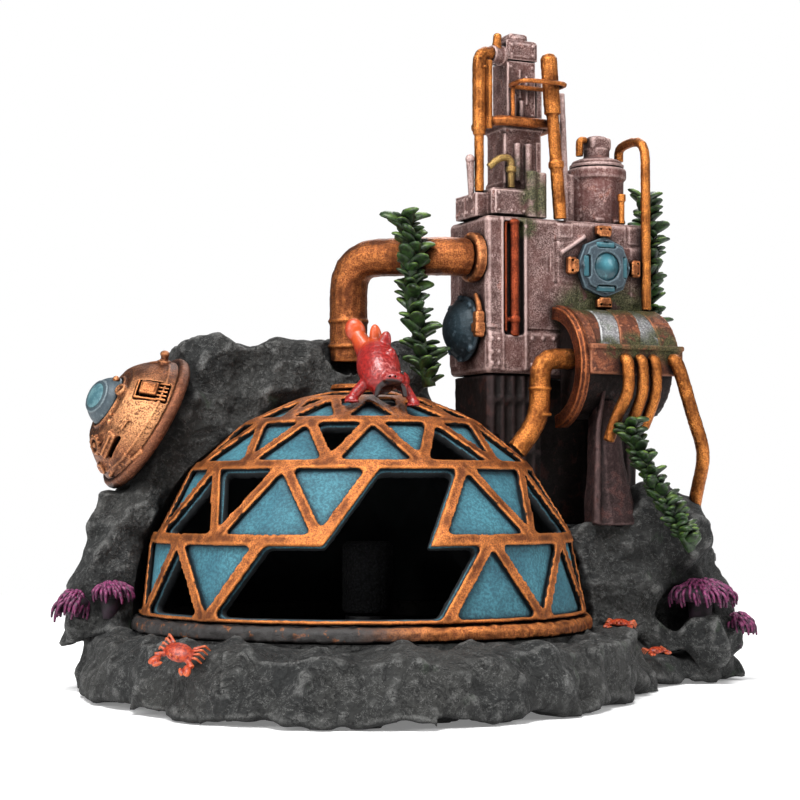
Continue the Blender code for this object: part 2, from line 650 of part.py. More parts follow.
RIGHT_PIPE_B = 1.2
RIGHT_PIPE_LEAN = -4.0 / (196 - ROOF)       # how far it leans left for each millimetre of height


def right_pipe_place(z):
    """Centre of the leaning right pipe at a height, in the tower's frame."""
    return (26.6 + RIGHT_PIPE_LEAN * (z - ROOF), RIGHT_PIPE_B, z)


right_pipe_levels = ((ROOF, 2.1), (160, 2.1), (160.2, 2.5), (162, 2.5), (162.2, 2.0), (176.9, 2.0),
                     (177.1, 2.7), (194.5, 2.7), (195.6, 1.9), (196.0, 0.9))
add_part("stack_pipe_right",
         swept([right_pipe_place(z) for z, _ in right_pipe_levels], [radius for _, radius in right_pipe_levels],
               12),
         "copper", parent=tower)

RAIL_Z, CLAMP_Z = 174.6, 186.0


def hoop(corners, z, bend, radius, sides):
    """Closed bar through four corners with rounded bends."""
    steps = 4
    path = rounded_path([(*corner, z) for corner in corners + corners[:2]], bend, steps)
    return swept(path[1:1 + (steps + 1) * len(corners)], radius, sides, loop=True)


add_part("stack_rail", hoop([(6.2, 5.5), (28.4, 5.5), (28.4, 22.5), (6.2, 22.5)], RAIL_Z, 5.0, 1.7, 8),
         "copper", parent=tower)
add_part("stack_clamp", hoop([(11.4, -2.9), (27.4, -2.9), (27.4, 7.6), (11.4, 7.6)], CLAMP_Z, 3.4, 0.8, 6),
         "copper", parent=tower)
add_part("stack_arch_pipe",
         swept(rounded_path([(4.0, 6.2, 159.6), (7.4, 5.0, 162.8), (11.3, 5.0, 162.8),
                             (11.3, 5.0, PLINTH_TOP + GAP)], 2.2), 1.2, 8),
         "copper", parent=tower)


# ---- roof tank with a stepped lid and its three pipes ----
TANK_A, TANK_B = 47.2, 13.4
VENT_REACH = 6.3                            # from the tank's axis to its vent pipe
add_part("tank_body",
         turned(((0, ROOF), (8.7, ROOF), (8.7, 159.0), (9.3, 159.3), (9.6, 159.9), (9.6, 162.2),
                 (9.2, 162.8), (0, 162.8)), 24),
         "mauve_metal", at=(TANK_A, TANK_B, 0), parent=tower)
add_part("tank_lid",
         turned(((0, 163.1), (8.6, 163.1), (8.0, 165.2), (7.7, 165.4), (4.2, 166.6), (4.2, 169.4),
                 (3.6, 170), (3.6, 172.8), (2.8, 173.6), (0, 173.6)), 24),
         "mauve_metal", at=(TANK_A, TANK_B, 0), parent=tower)
add_part("tank_vent_pipe",
         swept(rounded_path([(TANK_A - VENT_REACH, TANK_B, 166.9), (TANK_A - VENT_REACH, TANK_B, 172.2),
                             (TANK_A - 4.0, TANK_B, 172.2)], 1.4), 1.3, 8),
         "copper", parent=tower)
add_part("tank_return_pipe",
         swept(rounded_path([(TANK_A + 8.4, TANK_B, 166.1), (TANK_A + 8.4, TANK_B, 171.2), (55.9, -2.3, 171.2),
                             (55.9, -2.3, 116.0)], 7.2), 1.55, 10),
         "copper", parent=tower)
add_part("tank_drain_pipe",
         swept([(TANK_A + 2.4, 2.0, z) for z in (ROOF, 151, 151.3, 153.4)], (1.0, 1.0, 1.4, 1.4), 8),
         "red_copper", parent=tower)


# ---- octagonal porthole on the front with four clamps, and the round one at the left ----
HATCH_A, HATCH_Z = 40.6, 129.2
FACE_FRONT = (90, 0, 0)                     # turns +Z to the front of the box
add_part("hatch_frame",
         turned(((5.0, 0), (9.7, 0), (9.7, 2.0), (8.4, 2.2), (8.4, 3.6), (5.0, 4.0)), 8, closed=True),
         "slate", at=(HATCH_A, -GAP, HATCH_Z), turn=FACE_FRONT, parent=tower, smooth=False)
add_part("hatch_lens", turned(dome_profile(4.5, 1.6, 4, 3.2), 20), "lens", at=(HATCH_A, -GAP, HATCH_Z),
         turn=FACE_FRONT, parent=tower)
CLAMP_REACH = 11.6
for side, (out_a, out_z) in {"top": (0, 1), "bottom": (0, -1), "left": (-1, 0), "right": (1, 0)}.items():
    size = (5.4, 2.6, 3.2) if out_z else (3.2, 2.6, 5.4)
    add_part("hatch_clamp_" + side, block(size, bevel=0.5), "copper",
             at=(HATCH_A + CLAMP_REACH * out_a, -GAP - 1.3, HATCH_Z + CLAMP_REACH * out_z), parent=tower,
             smooth=False)

SIDE_B, SIDE_Z = 13.4, 109.4
FACE_LEFT = (0, -90, 0)                     # turns +Z to the left of the box
add_part("side_port_dome", turned(dome_profile(9.6, 6.0, 5, 1.2), 20), "slate",
         at=(-GAP, SIDE_B, SIDE_Z), turn=FACE_LEFT, parent=tower)
add_part("side_port_clamp", span_block((-3.4, 0.4, 106), (-GAP, 3.3, 114), 0.5), "copper", parent=tower,
         smooth=False)


# ---- thick pipe from the box to the left crag, with its flange ----
FLANGE_B, FLANGE_Z = 6.5, 131.0
add_part("main_pipe_flange", turned(((0, 0), (7.8, 0), (7.8, 2.4), (7.0, 3.0), (0, 3.0)), 20), "copper",
         at=(-GAP, FLANGE_B, FLANGE_Z), turn=FACE_LEFT, parent=tower)
pipe_start = from_tower((-2 * GAP - 3.0, FLANGE_B, FLANGE_Z))
pipe_turn = from_tower((-11.0, FLANGE_B, FLANGE_Z))
main_path = rounded_path([pipe_start, pipe_turn, (*MAIN_PIPE_FOOT, 132.0), (*MAIN_PIPE_FOOT, 99.0)], 11.0, 5)
add_part("main_pipe", swept(main_path, MAIN_PIPE_RADIUS, 14), "copper")


# ---- pipe from the drum down to the dome ----
feed_path = rounded_path([from_tower((25.3, -8.0, 99.3)), from_tower((14.0, -8.0, 99.3)),
                          from_tower((14.0, -8.0, 81.0)), Vector((33.0, 17.0, 68.0))], 6.5)
dome_feed_pipe = add_part("dome_feed_pipe", swept(feed_path, 3.25, 12), "copper")
feed_saddle_mesh = bmesh.new()
bmesh.ops.create_uvsphere(feed_saddle_mesh, u_segments=64, v_segments=32, radius=DOME_RADIUS + 0.6)
feed_saddle = add_cutter("feed_saddle", feed_saddle_mesh, at=DOME_CENTRE)
combine(dome_feed_pipe, [feed_saddle])


# ---- exhaust pipes from the fascia: three short ones and one long ----
EXHAUST_RADIUS = 2.0
PIPE_START = FASCIA_FRONT - 1.2
short_pipes = ((36.2, -5.0, 73.5), (41.3, -2.6, 77.0), (46.0, -2.4, 78.0))
for number, (top_a, drift, foot_z) in enumerate(short_pipes, start=1):
    route = smooth_path([(top_a, PIPE_START, 99.0), (top_a, -22.9, 97.6), (top_a, -23.0, 89.0),
                         (top_a + 0.4 * drift, -20.6, 82.5), (top_a + drift, -19.4, foot_z)], 3)
    add_part(f"exhaust_pipe_{number}", swept(route, EXHAUST_RADIUS, 8), "copper", parent=tower)
long_route = smooth_path([from_tower((53.4, PIPE_START, 99.2)), from_tower((54.0, -23.4, 97.0)),
                          Vector((90.0, 28.5, 82.0)), Vector((93.6, 31.5, 70.5)), Vector((92.6, 36.5, 60.0)),
                          LONG_PIPE_END], 3)
add_part("exhaust_pipe_long", swept(long_route, 2.3, 8), "copper")


# ---- pod on the left crag: flat rim, domed shell, lens at its tip and a raised hatch ----
POD_RADIUS, POD_HEIGHT = 20.4, 15.0
add_part("pod_rim", turned(((0, -3), (21.2, -3), (21.8, -2.4), (21.8, -0.6), (21.2, 0), (0, 0)), 32),
         "red_copper", parent=pod)
pod_shell = add_part("pod_shell", turned(dome_profile(POD_RADIUS, POD_HEIGHT, 7), 32), "copper",
                     at=(0, 0, GAP), parent=pod)
lens_seat = add_cutter("lens_seat", span_block((-15, -15, 11.4), (15, 15, 30)), parent=pod)
combine(pod_shell, [lens_seat])
add_part("pod_lens", turned(dome_profile(8.0, 6.0, 5, 1.0), 24), "slate", at=(0, 0, 11.7), parent=pod)

pod_ball = (POD_RADIUS ** 2 + POD_HEIGHT ** 2) / (2 * POD_HEIGHT)
pod_ball_centre = POD_CENTRE + POD_AXIS * (GAP + POD_HEIGHT - pod_ball)
hatch_direction = (Vector((-74.0, 8.0, 88.7)) - pod_ball_centre).normalized()
pod_hatch = add_part("pod_hatch", block((9.0, 6.4, 2.2), (0, 0, 1.1), 0.4), "copper",
                     at=pod_ball_centre + hatch_direction * (pod_ball + GAP), smooth=False)
pod_hatch.rotation_euler = hatch_direction.to_track_quat("Z", "Y").to_euler()


# ---- handfish standing on the dome: body, tail lobe, three dorsal lobes and two hands ----
fish_body_path = smooth_path([(1.5, -16.2, 89.6), (-0.8, -12.5, 91.0), (-4.5, -8, 93.6),
                              (-8.2, -3.5, 98.2), (-11.0, -1.0, 102.4), (-13.6, 0.5, 107.2)], 3)
fish_radii = spread((1.6, 4.6, 5.9, 4.9, 2.6, 2.4), len(fish_body_path))
fish_radii[-1] = 1.0
handfish = add_part("handfish", swept(fish_body_path, fish_radii, 12), "red_skin")
limbs = {
    "lobe_rear": (((-7.6, -5.2, 101.0), (-8.2, -5.0, 108.0)), (1.9, 1.2)),
    "lobe_middle": (((-3.8, -7.6, 97.4), (-3.9, -7.6, 104.6)), (1.9, 1.0)),
    "lobe_front": (((-1.2, -11.0, 94.2), (-0.9, -11.2, 99.2)), (1.5, 0.8)),
    "hand_left": (((-5.5, -11.0, 91.0), (-10.2, -13.0, 88.6), (-12.2, -14.2, 86.6)), (1.8, 1.5, 1.6)),
    "hand_right": (((1.0, -12.0, 90.0), (4.2, -13.6, 87.6), (5.4, -15.0, 85.2)), (1.8, 1.3, 1.4)),
}
for limb, (route, radii) in limbs.items():
    combine(handfish, [add_cutter(limb, swept(route, radii, 6))], "UNION")


# ---- crabs: a flat oval shell with two claws ----
CRABS = {                                   # place, width, turn in degrees
    "crab_front": ((-56.0, -68.0, LEDGE_TOP), 13.0, 12.0),
    "crab_middle": ((65.0, 9.0, LEDGE_TOP), 8.0, -15.0),
    "crab_right": ((77.0, 19.5, SHELF_TOP), 6.5, 20.0),
}
for crab, (place, width, heading) in CRABS.items():
    half = width / 2
    shell = turned(((0, 0), (half * 0.6, 0), (half * 0.8, half * 0.25), (half * 0.5, half * 0.55),
                    (0, half * 0.62)), 14)
    body = add_part(crab, shell, "orange_shell", at=(place[0], place[1], place[2] + GAP),
                    turn=(0, 0, heading))
    for sign, hand in ((-1, "left"), (1, "right")):
        claw_route = ((sign * half * 0.45, 0, half * 0.28), (sign * half * 0.9, -half * 0.35, half * 0.3),
                      (sign * half * 0.45, -half * 0.95, half * 0.26))
        claw = add_cutter(f"{crab}_claw_{hand}", swept(claw_route, half * 0.2, 8), parent=body)
        combine(body, [claw], "UNION")


# ---- anemones: a drooping crown of tentacles on a stalk ----
def anemone(radius, stalk_height, cap_height):
    """Mushroom outline of one anemone, standing on z 0."""
    top = stalk_height + cap_height
    return turned(((0, 0), (radius * 0.34, 0), (radius * 0.26, stalk_height * 0.6),
                   (radius * 0.34, stalk_height), (radius * 0.9, stalk_height - 1.5),
                   (radius, stalk_height), (radius * 0.86, top - 1.2), (radius * 0.4, top), (0, top)), 16)


add_part("anemone_right", anemone(11.3, 16.0, 4.6), "magenta", at=(*ANEMONE_RIGHT, SHELF_TOP + GAP))
add_part("anemone_right_small", anemone(4.6, 6.6, 3.2), "magenta",
         at=(*ANEMONE_RIGHT_SMALL, SHELF_TOP + GAP))
anemone_left = add_part("anemone_left", anemone(8.0, 4.0, 4.6), "magenta", at=(-86.0, 2.0, 21.2 + GAP))
left_twin = add_cutter("anemone_left_twin", anemone(6.0, 2.6, 3.4), at=(-95.6, 2.4, 21.2 + GAP))
combine(anemone_left, [left_twin], "UNION")


# ---- leafy plants: a stem thick with leaves ----
def vine(name, route, radius):
    """One plant as a waisted bar along its route."""
    path = smooth_path(route, 5)
    radii = [radius * (0.82 + 0.18 * cos(1.9 * i)) for i in range(len(path))]
    radii[0] = radii[-1] = radius * 0.4
    add_part(name, swept(path, radii, 7), "leaf")


vine("pipe_vine", ((9.0, 22.5, 90.2), (6.5, 22.8, 103), (3.0, 22.0, 118), (3.6, 20.5, 131), (1.5, 21.5, 141)), 3.4)
vine("tower_vine", ((80.6, 56.6, 112), (79.8, 57.4, 124), (80.8, 56.6, 138), (79.6, 57.6, 153)), 3.2)
vine("ledge_plant", ((68.0, 16.4, 79), (72.5, 16.4, 67), (79.0, 17.2, 55), (84.0, 18.4, 47), (88.0, 20.0, 40)), 2.8)
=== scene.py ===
"""The looks of the bubbling ornament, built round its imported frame."""
import math
import random

import bpy
from mathutils import Matrix, Vector


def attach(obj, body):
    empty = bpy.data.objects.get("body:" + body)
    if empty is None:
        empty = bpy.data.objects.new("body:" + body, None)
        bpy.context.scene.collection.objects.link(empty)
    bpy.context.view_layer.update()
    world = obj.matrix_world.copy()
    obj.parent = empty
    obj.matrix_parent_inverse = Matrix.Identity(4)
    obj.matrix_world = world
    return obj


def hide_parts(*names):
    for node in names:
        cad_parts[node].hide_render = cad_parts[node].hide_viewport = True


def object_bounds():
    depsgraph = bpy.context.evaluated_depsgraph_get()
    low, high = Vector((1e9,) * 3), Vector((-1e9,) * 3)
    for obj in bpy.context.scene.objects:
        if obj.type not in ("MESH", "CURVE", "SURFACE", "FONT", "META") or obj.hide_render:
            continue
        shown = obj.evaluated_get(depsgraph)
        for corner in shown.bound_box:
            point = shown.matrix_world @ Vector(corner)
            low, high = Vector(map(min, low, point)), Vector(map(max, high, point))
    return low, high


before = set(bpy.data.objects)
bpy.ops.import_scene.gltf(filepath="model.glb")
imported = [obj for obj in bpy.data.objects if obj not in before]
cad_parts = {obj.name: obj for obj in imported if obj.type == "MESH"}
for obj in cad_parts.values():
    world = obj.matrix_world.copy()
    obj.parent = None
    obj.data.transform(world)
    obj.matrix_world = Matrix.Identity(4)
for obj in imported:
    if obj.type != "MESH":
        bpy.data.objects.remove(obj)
cad_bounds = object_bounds()


# ---- Studio ----
# A round pale floor, a strong soft light above and in front, weaker ones from the left, the right
# and behind, and a faint even glow all round, so that the matt resin keeps dark hollows.
def deselect():
    if bpy.context.object and bpy.context.object.mode != "OBJECT":
        bpy.ops.object.mode_set(mode="OBJECT")
    bpy.ops.object.select_all(action="DESELECT")


def choose(*chosen):
    """Select these objects only; the first is the active one."""
    deselect()
    for item in chosen:
        item.select_set(True)
    bpy.context.view_layer.objects.active = chosen[0]


deselect()
scene = bpy.context.scene
scene.view_settings.view_transform = "Standard"

CAMERA_DISTANCE, CAMERA_HEIGHT, CAMERA_TILT = 0.566, 0.056, 2.96
bpy.ops.object.camera_add(location=(0, -CAMERA_DISTANCE, CAMERA_HEIGHT),
                          rotation=(math.radians(90 + CAMERA_TILT), 0, 0))
camera = bpy.context.object
camera.data.sensor_width = 36.0
camera.data.lens = 87.1
camera.data.clip_start = 0.01
scene.camera = camera


def soft_light(name, place, width, power):
    """A square soft box aimed at the middle of the tower."""
    bpy.ops.object.light_add(type="AREA", location=place)
    light = bpy.context.object
    light.name = name
    light.rotation_euler = (Vector((0, 0, 0.08)) - Vector(place)).to_track_quat("-Z", "Y").to_euler()
    light.data.shape = "SQUARE"
    light.data.size = width
    light.data.energy = power


soft_light("key_light", (-0.15, -0.55, 1.00), 0.50, 16.0)
soft_light("left_light", (-0.80, -0.80, 0.45), 0.45, 5.5)
soft_light("right_light", (0.95, -0.35, 0.55), 0.4, 3.5)
soft_light("back_light", (0.2, 0.9, 0.8), 0.6, 6.0)

world = bpy.data.worlds.new("studio")
world.use_nodes = True
scene.world = world
sky = world.node_tree
sky_colour = sky.nodes["Background"]
sky_colour.inputs["Color"].default_value = (1, 1, 1, 1)
sky_colour.inputs["Strength"].default_value = 0.16
bright = sky.nodes.new("ShaderNodeBackground")
bright.inputs["Color"].default_value = (1, 1, 1, 1)
seen = sky.nodes.new("ShaderNodeLightPath")
either = sky.nodes.new("ShaderNodeMixShader")
sky.links.new(seen.outputs["Is Camera Ray"], either.inputs["Fac"])
sky.links.new(sky_colour.outputs[0], either.inputs[1])
sky.links.new(bright.outputs[0], either.inputs[2])
sky.links.new(either.outputs[0], sky.nodes["World Output"].inputs["Surface"])

FLOOR_RADIUS, FLOOR_GAP = 0.62, 0.0004               # the gap keeps the floor clear of the foot
bpy.ops.mesh.primitive_circle_add(radius=FLOOR_RADIUS, vertices=96, fill_type="NGON",
                                  location=(0, 0, cad_bounds[0].z - FLOOR_GAP))
floor = bpy.context.object
floor.name = "studio_floor"
pale = bpy.data.materials.new("studio_floor")
pale.use_nodes = True
matt_white = pale.node_tree.nodes["Principled BSDF"]
matt_white.inputs["Base Color"].default_value = (0.93, 0.93, 0.93, 1)
matt_white.inputs["Roughness"].default_value = 0.9
matt_white.inputs["Emission Color"].default_value = (1, 1, 1, 1)
matt_white.inputs["Emission Strength"].default_value = 0.2
floor.data.materials.append(pale)


# ---- Rock ----
# Cast resin, broken all over like quarried basalt, stained nearly black and dry-brushed with
# pale grey on its ridges. The base carries the ledge; the two crags stand on it.
MM = 0.001


class Value:
    """A number that varies over a surface; arithmetic on it adds Math nodes."""

    def __init__(self, paint, socket):
        self.paint, self.socket = paint, socket

    def calculate(self, operation, other=0.0, flipped=False):
        terms = [self.socket, other.socket if isinstance(other, Value) else other]
        if flipped:
            terms.reverse()
        made = self.paint.node("ShaderNodeMath", {"operation": operation}, {0: terms[0], 1: terms[1]})
        return Value(self.paint, made.outputs[0])

    def __add__(self, other):
        return self.calculate("ADD", other)

    def __sub__(self, other):
        return self.calculate("SUBTRACT", other)

    def __rsub__(self, other):
        return self.calculate("SUBTRACT", other, True)

    def __mul__(self, other):
        return self.calculate("MULTIPLY", other)

    def most(self, other):
        return self.calculate("MAXIMUM", other)

    def least(self, other):
        return self.calculate("MINIMUM", other)

    def between(self, low, high):
        """0 below low, 1 above high, with a soft step."""
        made = self.paint.node("ShaderNodeMapRange", {"interpolation_type": "SMOOTHSTEP"},
                               {"Value": self, "From Min": low, "From Max": high})
        return Value(self.paint, made.outputs[0])

    __radd__ = __add__
    __rmul__ = __mul__


class Paint:
    """A material in the making; its textures are scaled in millimetres."""

    def __init__(self, name, roughness=0.6, metallic=0.0, coat=0.0):
        self.material = bpy.data.materials.new(name)
        self.material.use_nodes = True
        self.tree = self.material.node_tree
        self.shader = self.tree.nodes["Principled BSDF"]
        self.shader.inputs["Roughness"].default_value = roughness
        self.shader.inputs["Metallic"].default_value = metallic
        self.shader.inputs["Coat Weight"].default_value = coat
        place = self.node("ShaderNodeTexCoord").outputs["Object"]
        self.place = self.node("ShaderNodeVectorMath", {"operation": "SCALE"},
                               {0: place, "Scale": 1 / MM}).outputs[0]

    def node(self, kind, settings=None, sockets=None):
        made = self.tree.nodes.new(kind)
        for key, setting in (settings or {}).items():
            setattr(made, key, setting)
        for key, value in (sockets or {}).items():
            self.feed(made.inputs[key], value)
        return made

    def feed(self, socket, value):
        """Link a socket or Value, or set a plain number or colour."""
        if isinstance(value, Value):
            value = value.socket
        if isinstance(value, bpy.types.NodeSocket):
            self.tree.links.new(value, socket)
        elif isinstance(value, (tuple, list)) and socket.type == "RGBA":
            socket.default_value = (*value[:3], 1.0)
        else:
            socket.default_value = value

    def set(self, **finish):
        """Feed the shader: base_color=, roughness=, metallic=, coat_weight=, normal=."""
        for key, value in finish.items():
            self.feed(self.shader.inputs[key.replace("_", " ").title()], value)

    def warped(self, amount, size):
        """Coordinates pushed about by noise, so that cells lose their roundness."""
        made = self.node("ShaderNodeTexNoise", None,
                         {"Vector": self.place, "Scale": 1 / size, "Detail": 3.0})
        push = self.node("ShaderNodeVectorMath", {"operation": "SCALE"},
                         {0: made.outputs["Color"], "Scale": amount})
        return self.node("ShaderNodeVectorMath", {"operation": "ADD"},
                         {0: self.place, 1: push.outputs[0]}).outputs[0]

    def noise(self, size, detail=3.0, roughness=0.55, warp=0.0, place=None):
        """Cloudy noise, about 0.5 on average, with features of size millimetres."""
        made = self.node("ShaderNodeTexNoise", None,
                         {"Vector": place or self.place, "Scale": 1 / size, "Detail": detail,
                          "Roughness": roughness, "Distortion": warp})
        return Value(self, made.outputs["Fac"])

    def cells(self, size, place=None):
        """Distance to the nearest cell point."""
        made = self.node("ShaderNodeTexVoronoi", None,
                         {"Vector": place or self.place, "Scale": 1 / size})
        return Value(self, made.outputs["Distance"])

    def ridges(self, low=0.5, high=0.6):
        """1 on sharp convex edges."""
        return Value(self, self.node("ShaderNodeNewGeometry").outputs["Pointiness"]).between(low, high)

    def open_air(self, reach):
        """1 in the open, falling to 0 deep in a hollow of reach millimetres."""
        made = self.node("ShaderNodeAmbientOcclusion", {"samples": 4}, {"Distance": reach * MM})
        return Value(self, made.outputs["AO"])

    def facing(self, axis):
        """How far the surface faces along +X, +Y or +Z."""
        normal = self.node("ShaderNodeNewGeometry").outputs["Normal"]
        made = self.node("ShaderNodeSeparateXYZ", None, {0: normal})
        return Value(self, made.outputs[axis])

    def distance(self, point):
        """Distance from a point, in millimetres."""
        made = self.node("ShaderNodeVectorMath", {"operation": "DISTANCE"},
                         {0: self.place, 1: tuple(point)})
        return Value(self, made.outputs["Value"])

    def outward(self, point):
        """1 where the surface faces away from a point, -1 where it faces it."""
        away = self.node("ShaderNodeVectorMath", {"operation": "SUBTRACT"},
                         {0: self.place, 1: tuple(point)})
        away = self.node("ShaderNodeVectorMath", {"operation": "NORMALIZE"}, {0: away.outputs[0]})
        normal = self.node("ShaderNodeNewGeometry").outputs["Normal"]
        made = self.node("ShaderNodeVectorMath", {"operation": "DOT_PRODUCT"},
                         {0: away.outputs[0], 1: normal})
        return Value(self, made.outputs["Value"])

    def mix(self, factor, first, second):
        """Blend two colours."""
        made = self.node("ShaderNodeMix", {"data_type": "RGBA", "clamp_factor": True},
                         {0: factor, 6: first, 7: second})
        return made.outputs[2]

    def bump(self, height, depth, strength=1.0):
        """Surface relief of depth millimetres."""
        return self.node("ShaderNodeBump", None,
                         {"Height": height, "Distance": depth * MM, "Strength": strength}).outputs[0]


def apply(piece, kind, **settings):
    """Add a modifier and apply it."""
    choose(piece)
    step = piece.modifiers.new(kind.lower(), kind)
    for key, setting in settings.items():
        setattr(step, key, setting)
    bpy.ops.object.modifier_apply(modifier=step.name)


def copy_of(node, name):
    """A new piece with the merged mesh of a CAD node."""
    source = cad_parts[node]
    piece = bpy.data.objects.new(name, source.data.copy())
    bpy.context.collection.objects.link(piece)
    piece.data.materials.clear()
    choose(piece)
    bpy.ops.object.mode_set(mode="EDIT")
    bpy.ops.mesh.select_all(action="SELECT")
    bpy.ops.mesh.remove_doubles(threshold=0.00001)
    bpy.ops.mesh.customdata_custom_splitnormals_clear()
    bpy.ops.object.mode_set(mode="OBJECT")
    return piece


STATIC = "ornament"                                  # the body of everything that never moves


def place_piece(piece, paint, slot, *nodes, body=STATIC):
    """Give a finished piece its paint and its body and hide the CAD nodes it stands for; the slot is not
    used.
    """
    piece.data.materials.clear()
    piece.data.materials.append(paint.material)
    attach(piece, body)
    if nodes:
        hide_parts(*nodes)


def displace(piece, kind, size, depth, middle=0.5, **settings):
    """Push the surface in and out by a texture whose features measure size millimetres."""
    pattern = bpy.data.textures.new(f"{piece.name}_{kind.lower()}", kind)
    pattern.noise_scale = size * MM
    for key, setting in settings.items():
        setattr(pattern, key, setting)
    apply(piece, "DISPLACE", texture=pattern, texture_coords="LOCAL", strength=depth * MM, mid_level=middle)


def carve(piece, *cutters, solver="EXACT"):
    """Cut solids away from a piece, then throw them away."""
    for cutter in cutters:
        apply(piece, "BOOLEAN", object=cutter, operation="DIFFERENCE", solver=solver)
        bpy.data.objects.remove(cutter, do_unlink=True)


WORLD = Matrix.Identity(4)
DOME_CENTRE, DOME_RADIUS = Vector((-11.2, 14.0, 22.5)), 66.8


def settle(place=WORLD, bevel=0.0):
    """Take the shape just added, round its edges and move its mesh into a frame."""
    piece = bpy.context.object
    choose(piece)
    bpy.ops.object.transform_apply(location=True, rotation=True, scale=True)
    if bevel:
        apply(piece, "BEVEL", width=bevel * MM, segments=2, limit_method="ANGLE")
    piece.data.transform(place)
    return piece


def ball(centre, radii, place=WORLD, turn=(0, 0, 0), segments=24):
    """Ellipsoid by its centre and its three radii."""
    bpy.ops.mesh.primitive_uv_sphere_add(segments=segments, ring_count=segments // 2, radius=MM,
                                         location=Vector(centre) * MM,
                                         rotation=[math.radians(angle) for angle in turn])
    bpy.context.object.scale = radii
    return settle(place)


def rod(start, end, radius, tip=None, place=WORLD, sides=20):
    """Straight round bar, or a cone towards a tip radius."""
    start, end = Vector(start) * MM, Vector(end) * MM
    tip = radius if tip is None else tip
    bpy.ops.mesh.primitive_cone_add(vertices=sides, radius1=radius * MM, radius2=tip * MM,
                                    depth=(end - start).length, location=(start + end) / 2,
                                    rotation=(end - start).to_track_quat("Z", "Y").to_euler())
    return settle(place)


def box(low, high, place=WORLD, bevel=0.0):
    """Block by its lowest and highest corners."""
    low, high = Vector(low) * MM, Vector(high) * MM
    bpy.ops.mesh.primitive_cube_add(size=1.0, location=(low + high) / 2)
    bpy.context.object.scale = high - low
    return settle(place, bevel)


rock_paint = Paint("rock_paint", roughness=0.85)
stain = rock_paint.noise(22.0, 3.0)
grain = rock_paint.noise(0.55, 4.0, 0.75)
strokes = rock_paint.noise(1.3, 5.0, 0.8, 0.4)
chips = rock_paint.cells(3.6, place=rock_paint.warped(2.4, 3.0))
small_chips = rock_paint.cells(1.3, place=rock_paint.warped(1.0, 1.2))
cracks = rock_paint.noise(16.0, 6.0, 0.7, 0.8)
crack = 1.0 - ((cracks - 0.5) * (cracks - 0.5) * 16000.0).least(1.0)
edge = rock_paint.ridges(0.508, 0.545)
veins = rock_paint.noise(4.5, 6.0, 0.8, 0.7)
vein = 1.0 - ((veins - 0.52) * (veins - 0.52) * 5000.0).least(1.0)
brushed = edge * 0.6 + vein * strokes.between(0.38, 0.56) * 0.9 + strokes.between(0.52, 0.70) * 0.25
brushed = brushed * rock_paint.open_air(6.0)
# Deep hollows darkened nearly to black: painted shade.
deep = rock_paint.open_air(9.0).between(0.25, 0.85)
stone = rock_paint.mix(stain.between(0.35, 0.65), (0.013, 0.014, 0.014), (0.030, 0.030, 0.028))
stone = rock_paint.mix((brushed * grain.between(0.25, 0.60)).least(1.0), stone, (0.185, 0.185, 0.178))
stone = rock_paint.mix(deep, (0.005, 0.005, 0.005), stone)
stone = rock_paint.mix(crack * 0.85, stone, (0.006, 0.006, 0.006))
mossy = rock_paint.noise(9.0, 3.0).between(0.60, 0.68) * rock_paint.facing("X").between(0.2, 0.7) * 0.3
stone = rock_paint.mix(mossy, stone, (0.030, 0.062, 0.026))
# Rock inside the dome painted black: painted shade.
dome_inside_shade = rock_paint.distance(DOME_CENTRE).between(68.0, 65.5)
stone = rock_paint.mix(dome_inside_shade, stone, (0.002, 0.002, 0.002))
relief = strokes * 0.5 + grain * 0.2 + chips * 1.3 + small_chips * 0.45 - crack * 0.4
rock_paint.set(base_color=stone, roughness=0.92 - brushed * 0.2,
               normal=rock_paint.bump(relief, 1.0, 1.3))


def gather(name, *parts):
    """Join shapes into one piece."""
    choose(*parts)
    bpy.ops.object.join()
    piece = bpy.context.object
    piece.name = name
    return piece


def rough_rock(node, voxel, heave, *lumps):
    """Break a plain solid into flat facets, then chip them; both measures are in millimetres."""
    piece = gather(node + "_surface", copy_of(node, node + "_core"), *lumps)
    apply(piece, "REMESH", mode="VOXEL", voxel_size=2.2 * MM)
    displace(piece, "CLOUDS", 16.0, heave, 0.5, noise_depth=2)
    displace(piece, "VORONOI", 12.0, -0.9 * heave, 0.4)
    apply(piece, "DECIMATE", ratio=0.05)
    apply(piece, "REMESH", mode="VOXEL", voxel_size=voxel * MM)
    displace(piece, "VORONOI", 8.0, -1.7, 0.5, distance_metric="MANHATTAN")
    displace(piece, "VORONOI", 4.2, -1.0, 0.5, distance_metric="CHEBYCHEV")
    displace(piece, "CLOUDS", 2.4, 0.6, 0.5, noise_depth=3)
    apply(piece, "REMESH", mode="VOXEL", voxel_size=voxel * MM)
    bpy.ops.object.shade_smooth()
    return piece


base = rough_rock("rock_base", 1.0, 5.5)
LEDGE_TOP = 17.9
CRAB_SLOPE = Matrix.Translation((-0.056, -0.0715, 0.0158)) @ Matrix.Rotation(math.radians(42), 4, "X")
carve(base, box((-130, -130, -20), (130, 130, 0)), box((-11, -12, 0), (11, 12, 12), CRAB_SLOPE),
      rod((*DOME_CENTRE.xy, LEDGE_TOP), (*DOME_CENTRE.xy, 60), DOME_RADIUS + 1.6, sides=96),
      solver="MANIFOLD")
seat = rod((*DOME_CENTRE.xy, 8), (*DOME_CENTRE.xy, LEDGE_TOP - 0.05), DOME_RADIUS + 0.8, sides=96)
base = gather("rock_base_surface", base, seat)
place_piece(base, rock_paint, "rock", "rock_base")
right_lumps = (ball((77, 39, 48), (12.5, 14, 13.5)), ball((89, 37, 45), (10, 11, 12)),
               ball((97, 41, 14.5), (11, 8, 8.5)), ball((92, 31, 13), (10, 6, 8)))
left_lumps = (ball((-84, 9, 27), (12, 8, 12)), ball((-92, 9, 24), (8, 7, 8)))
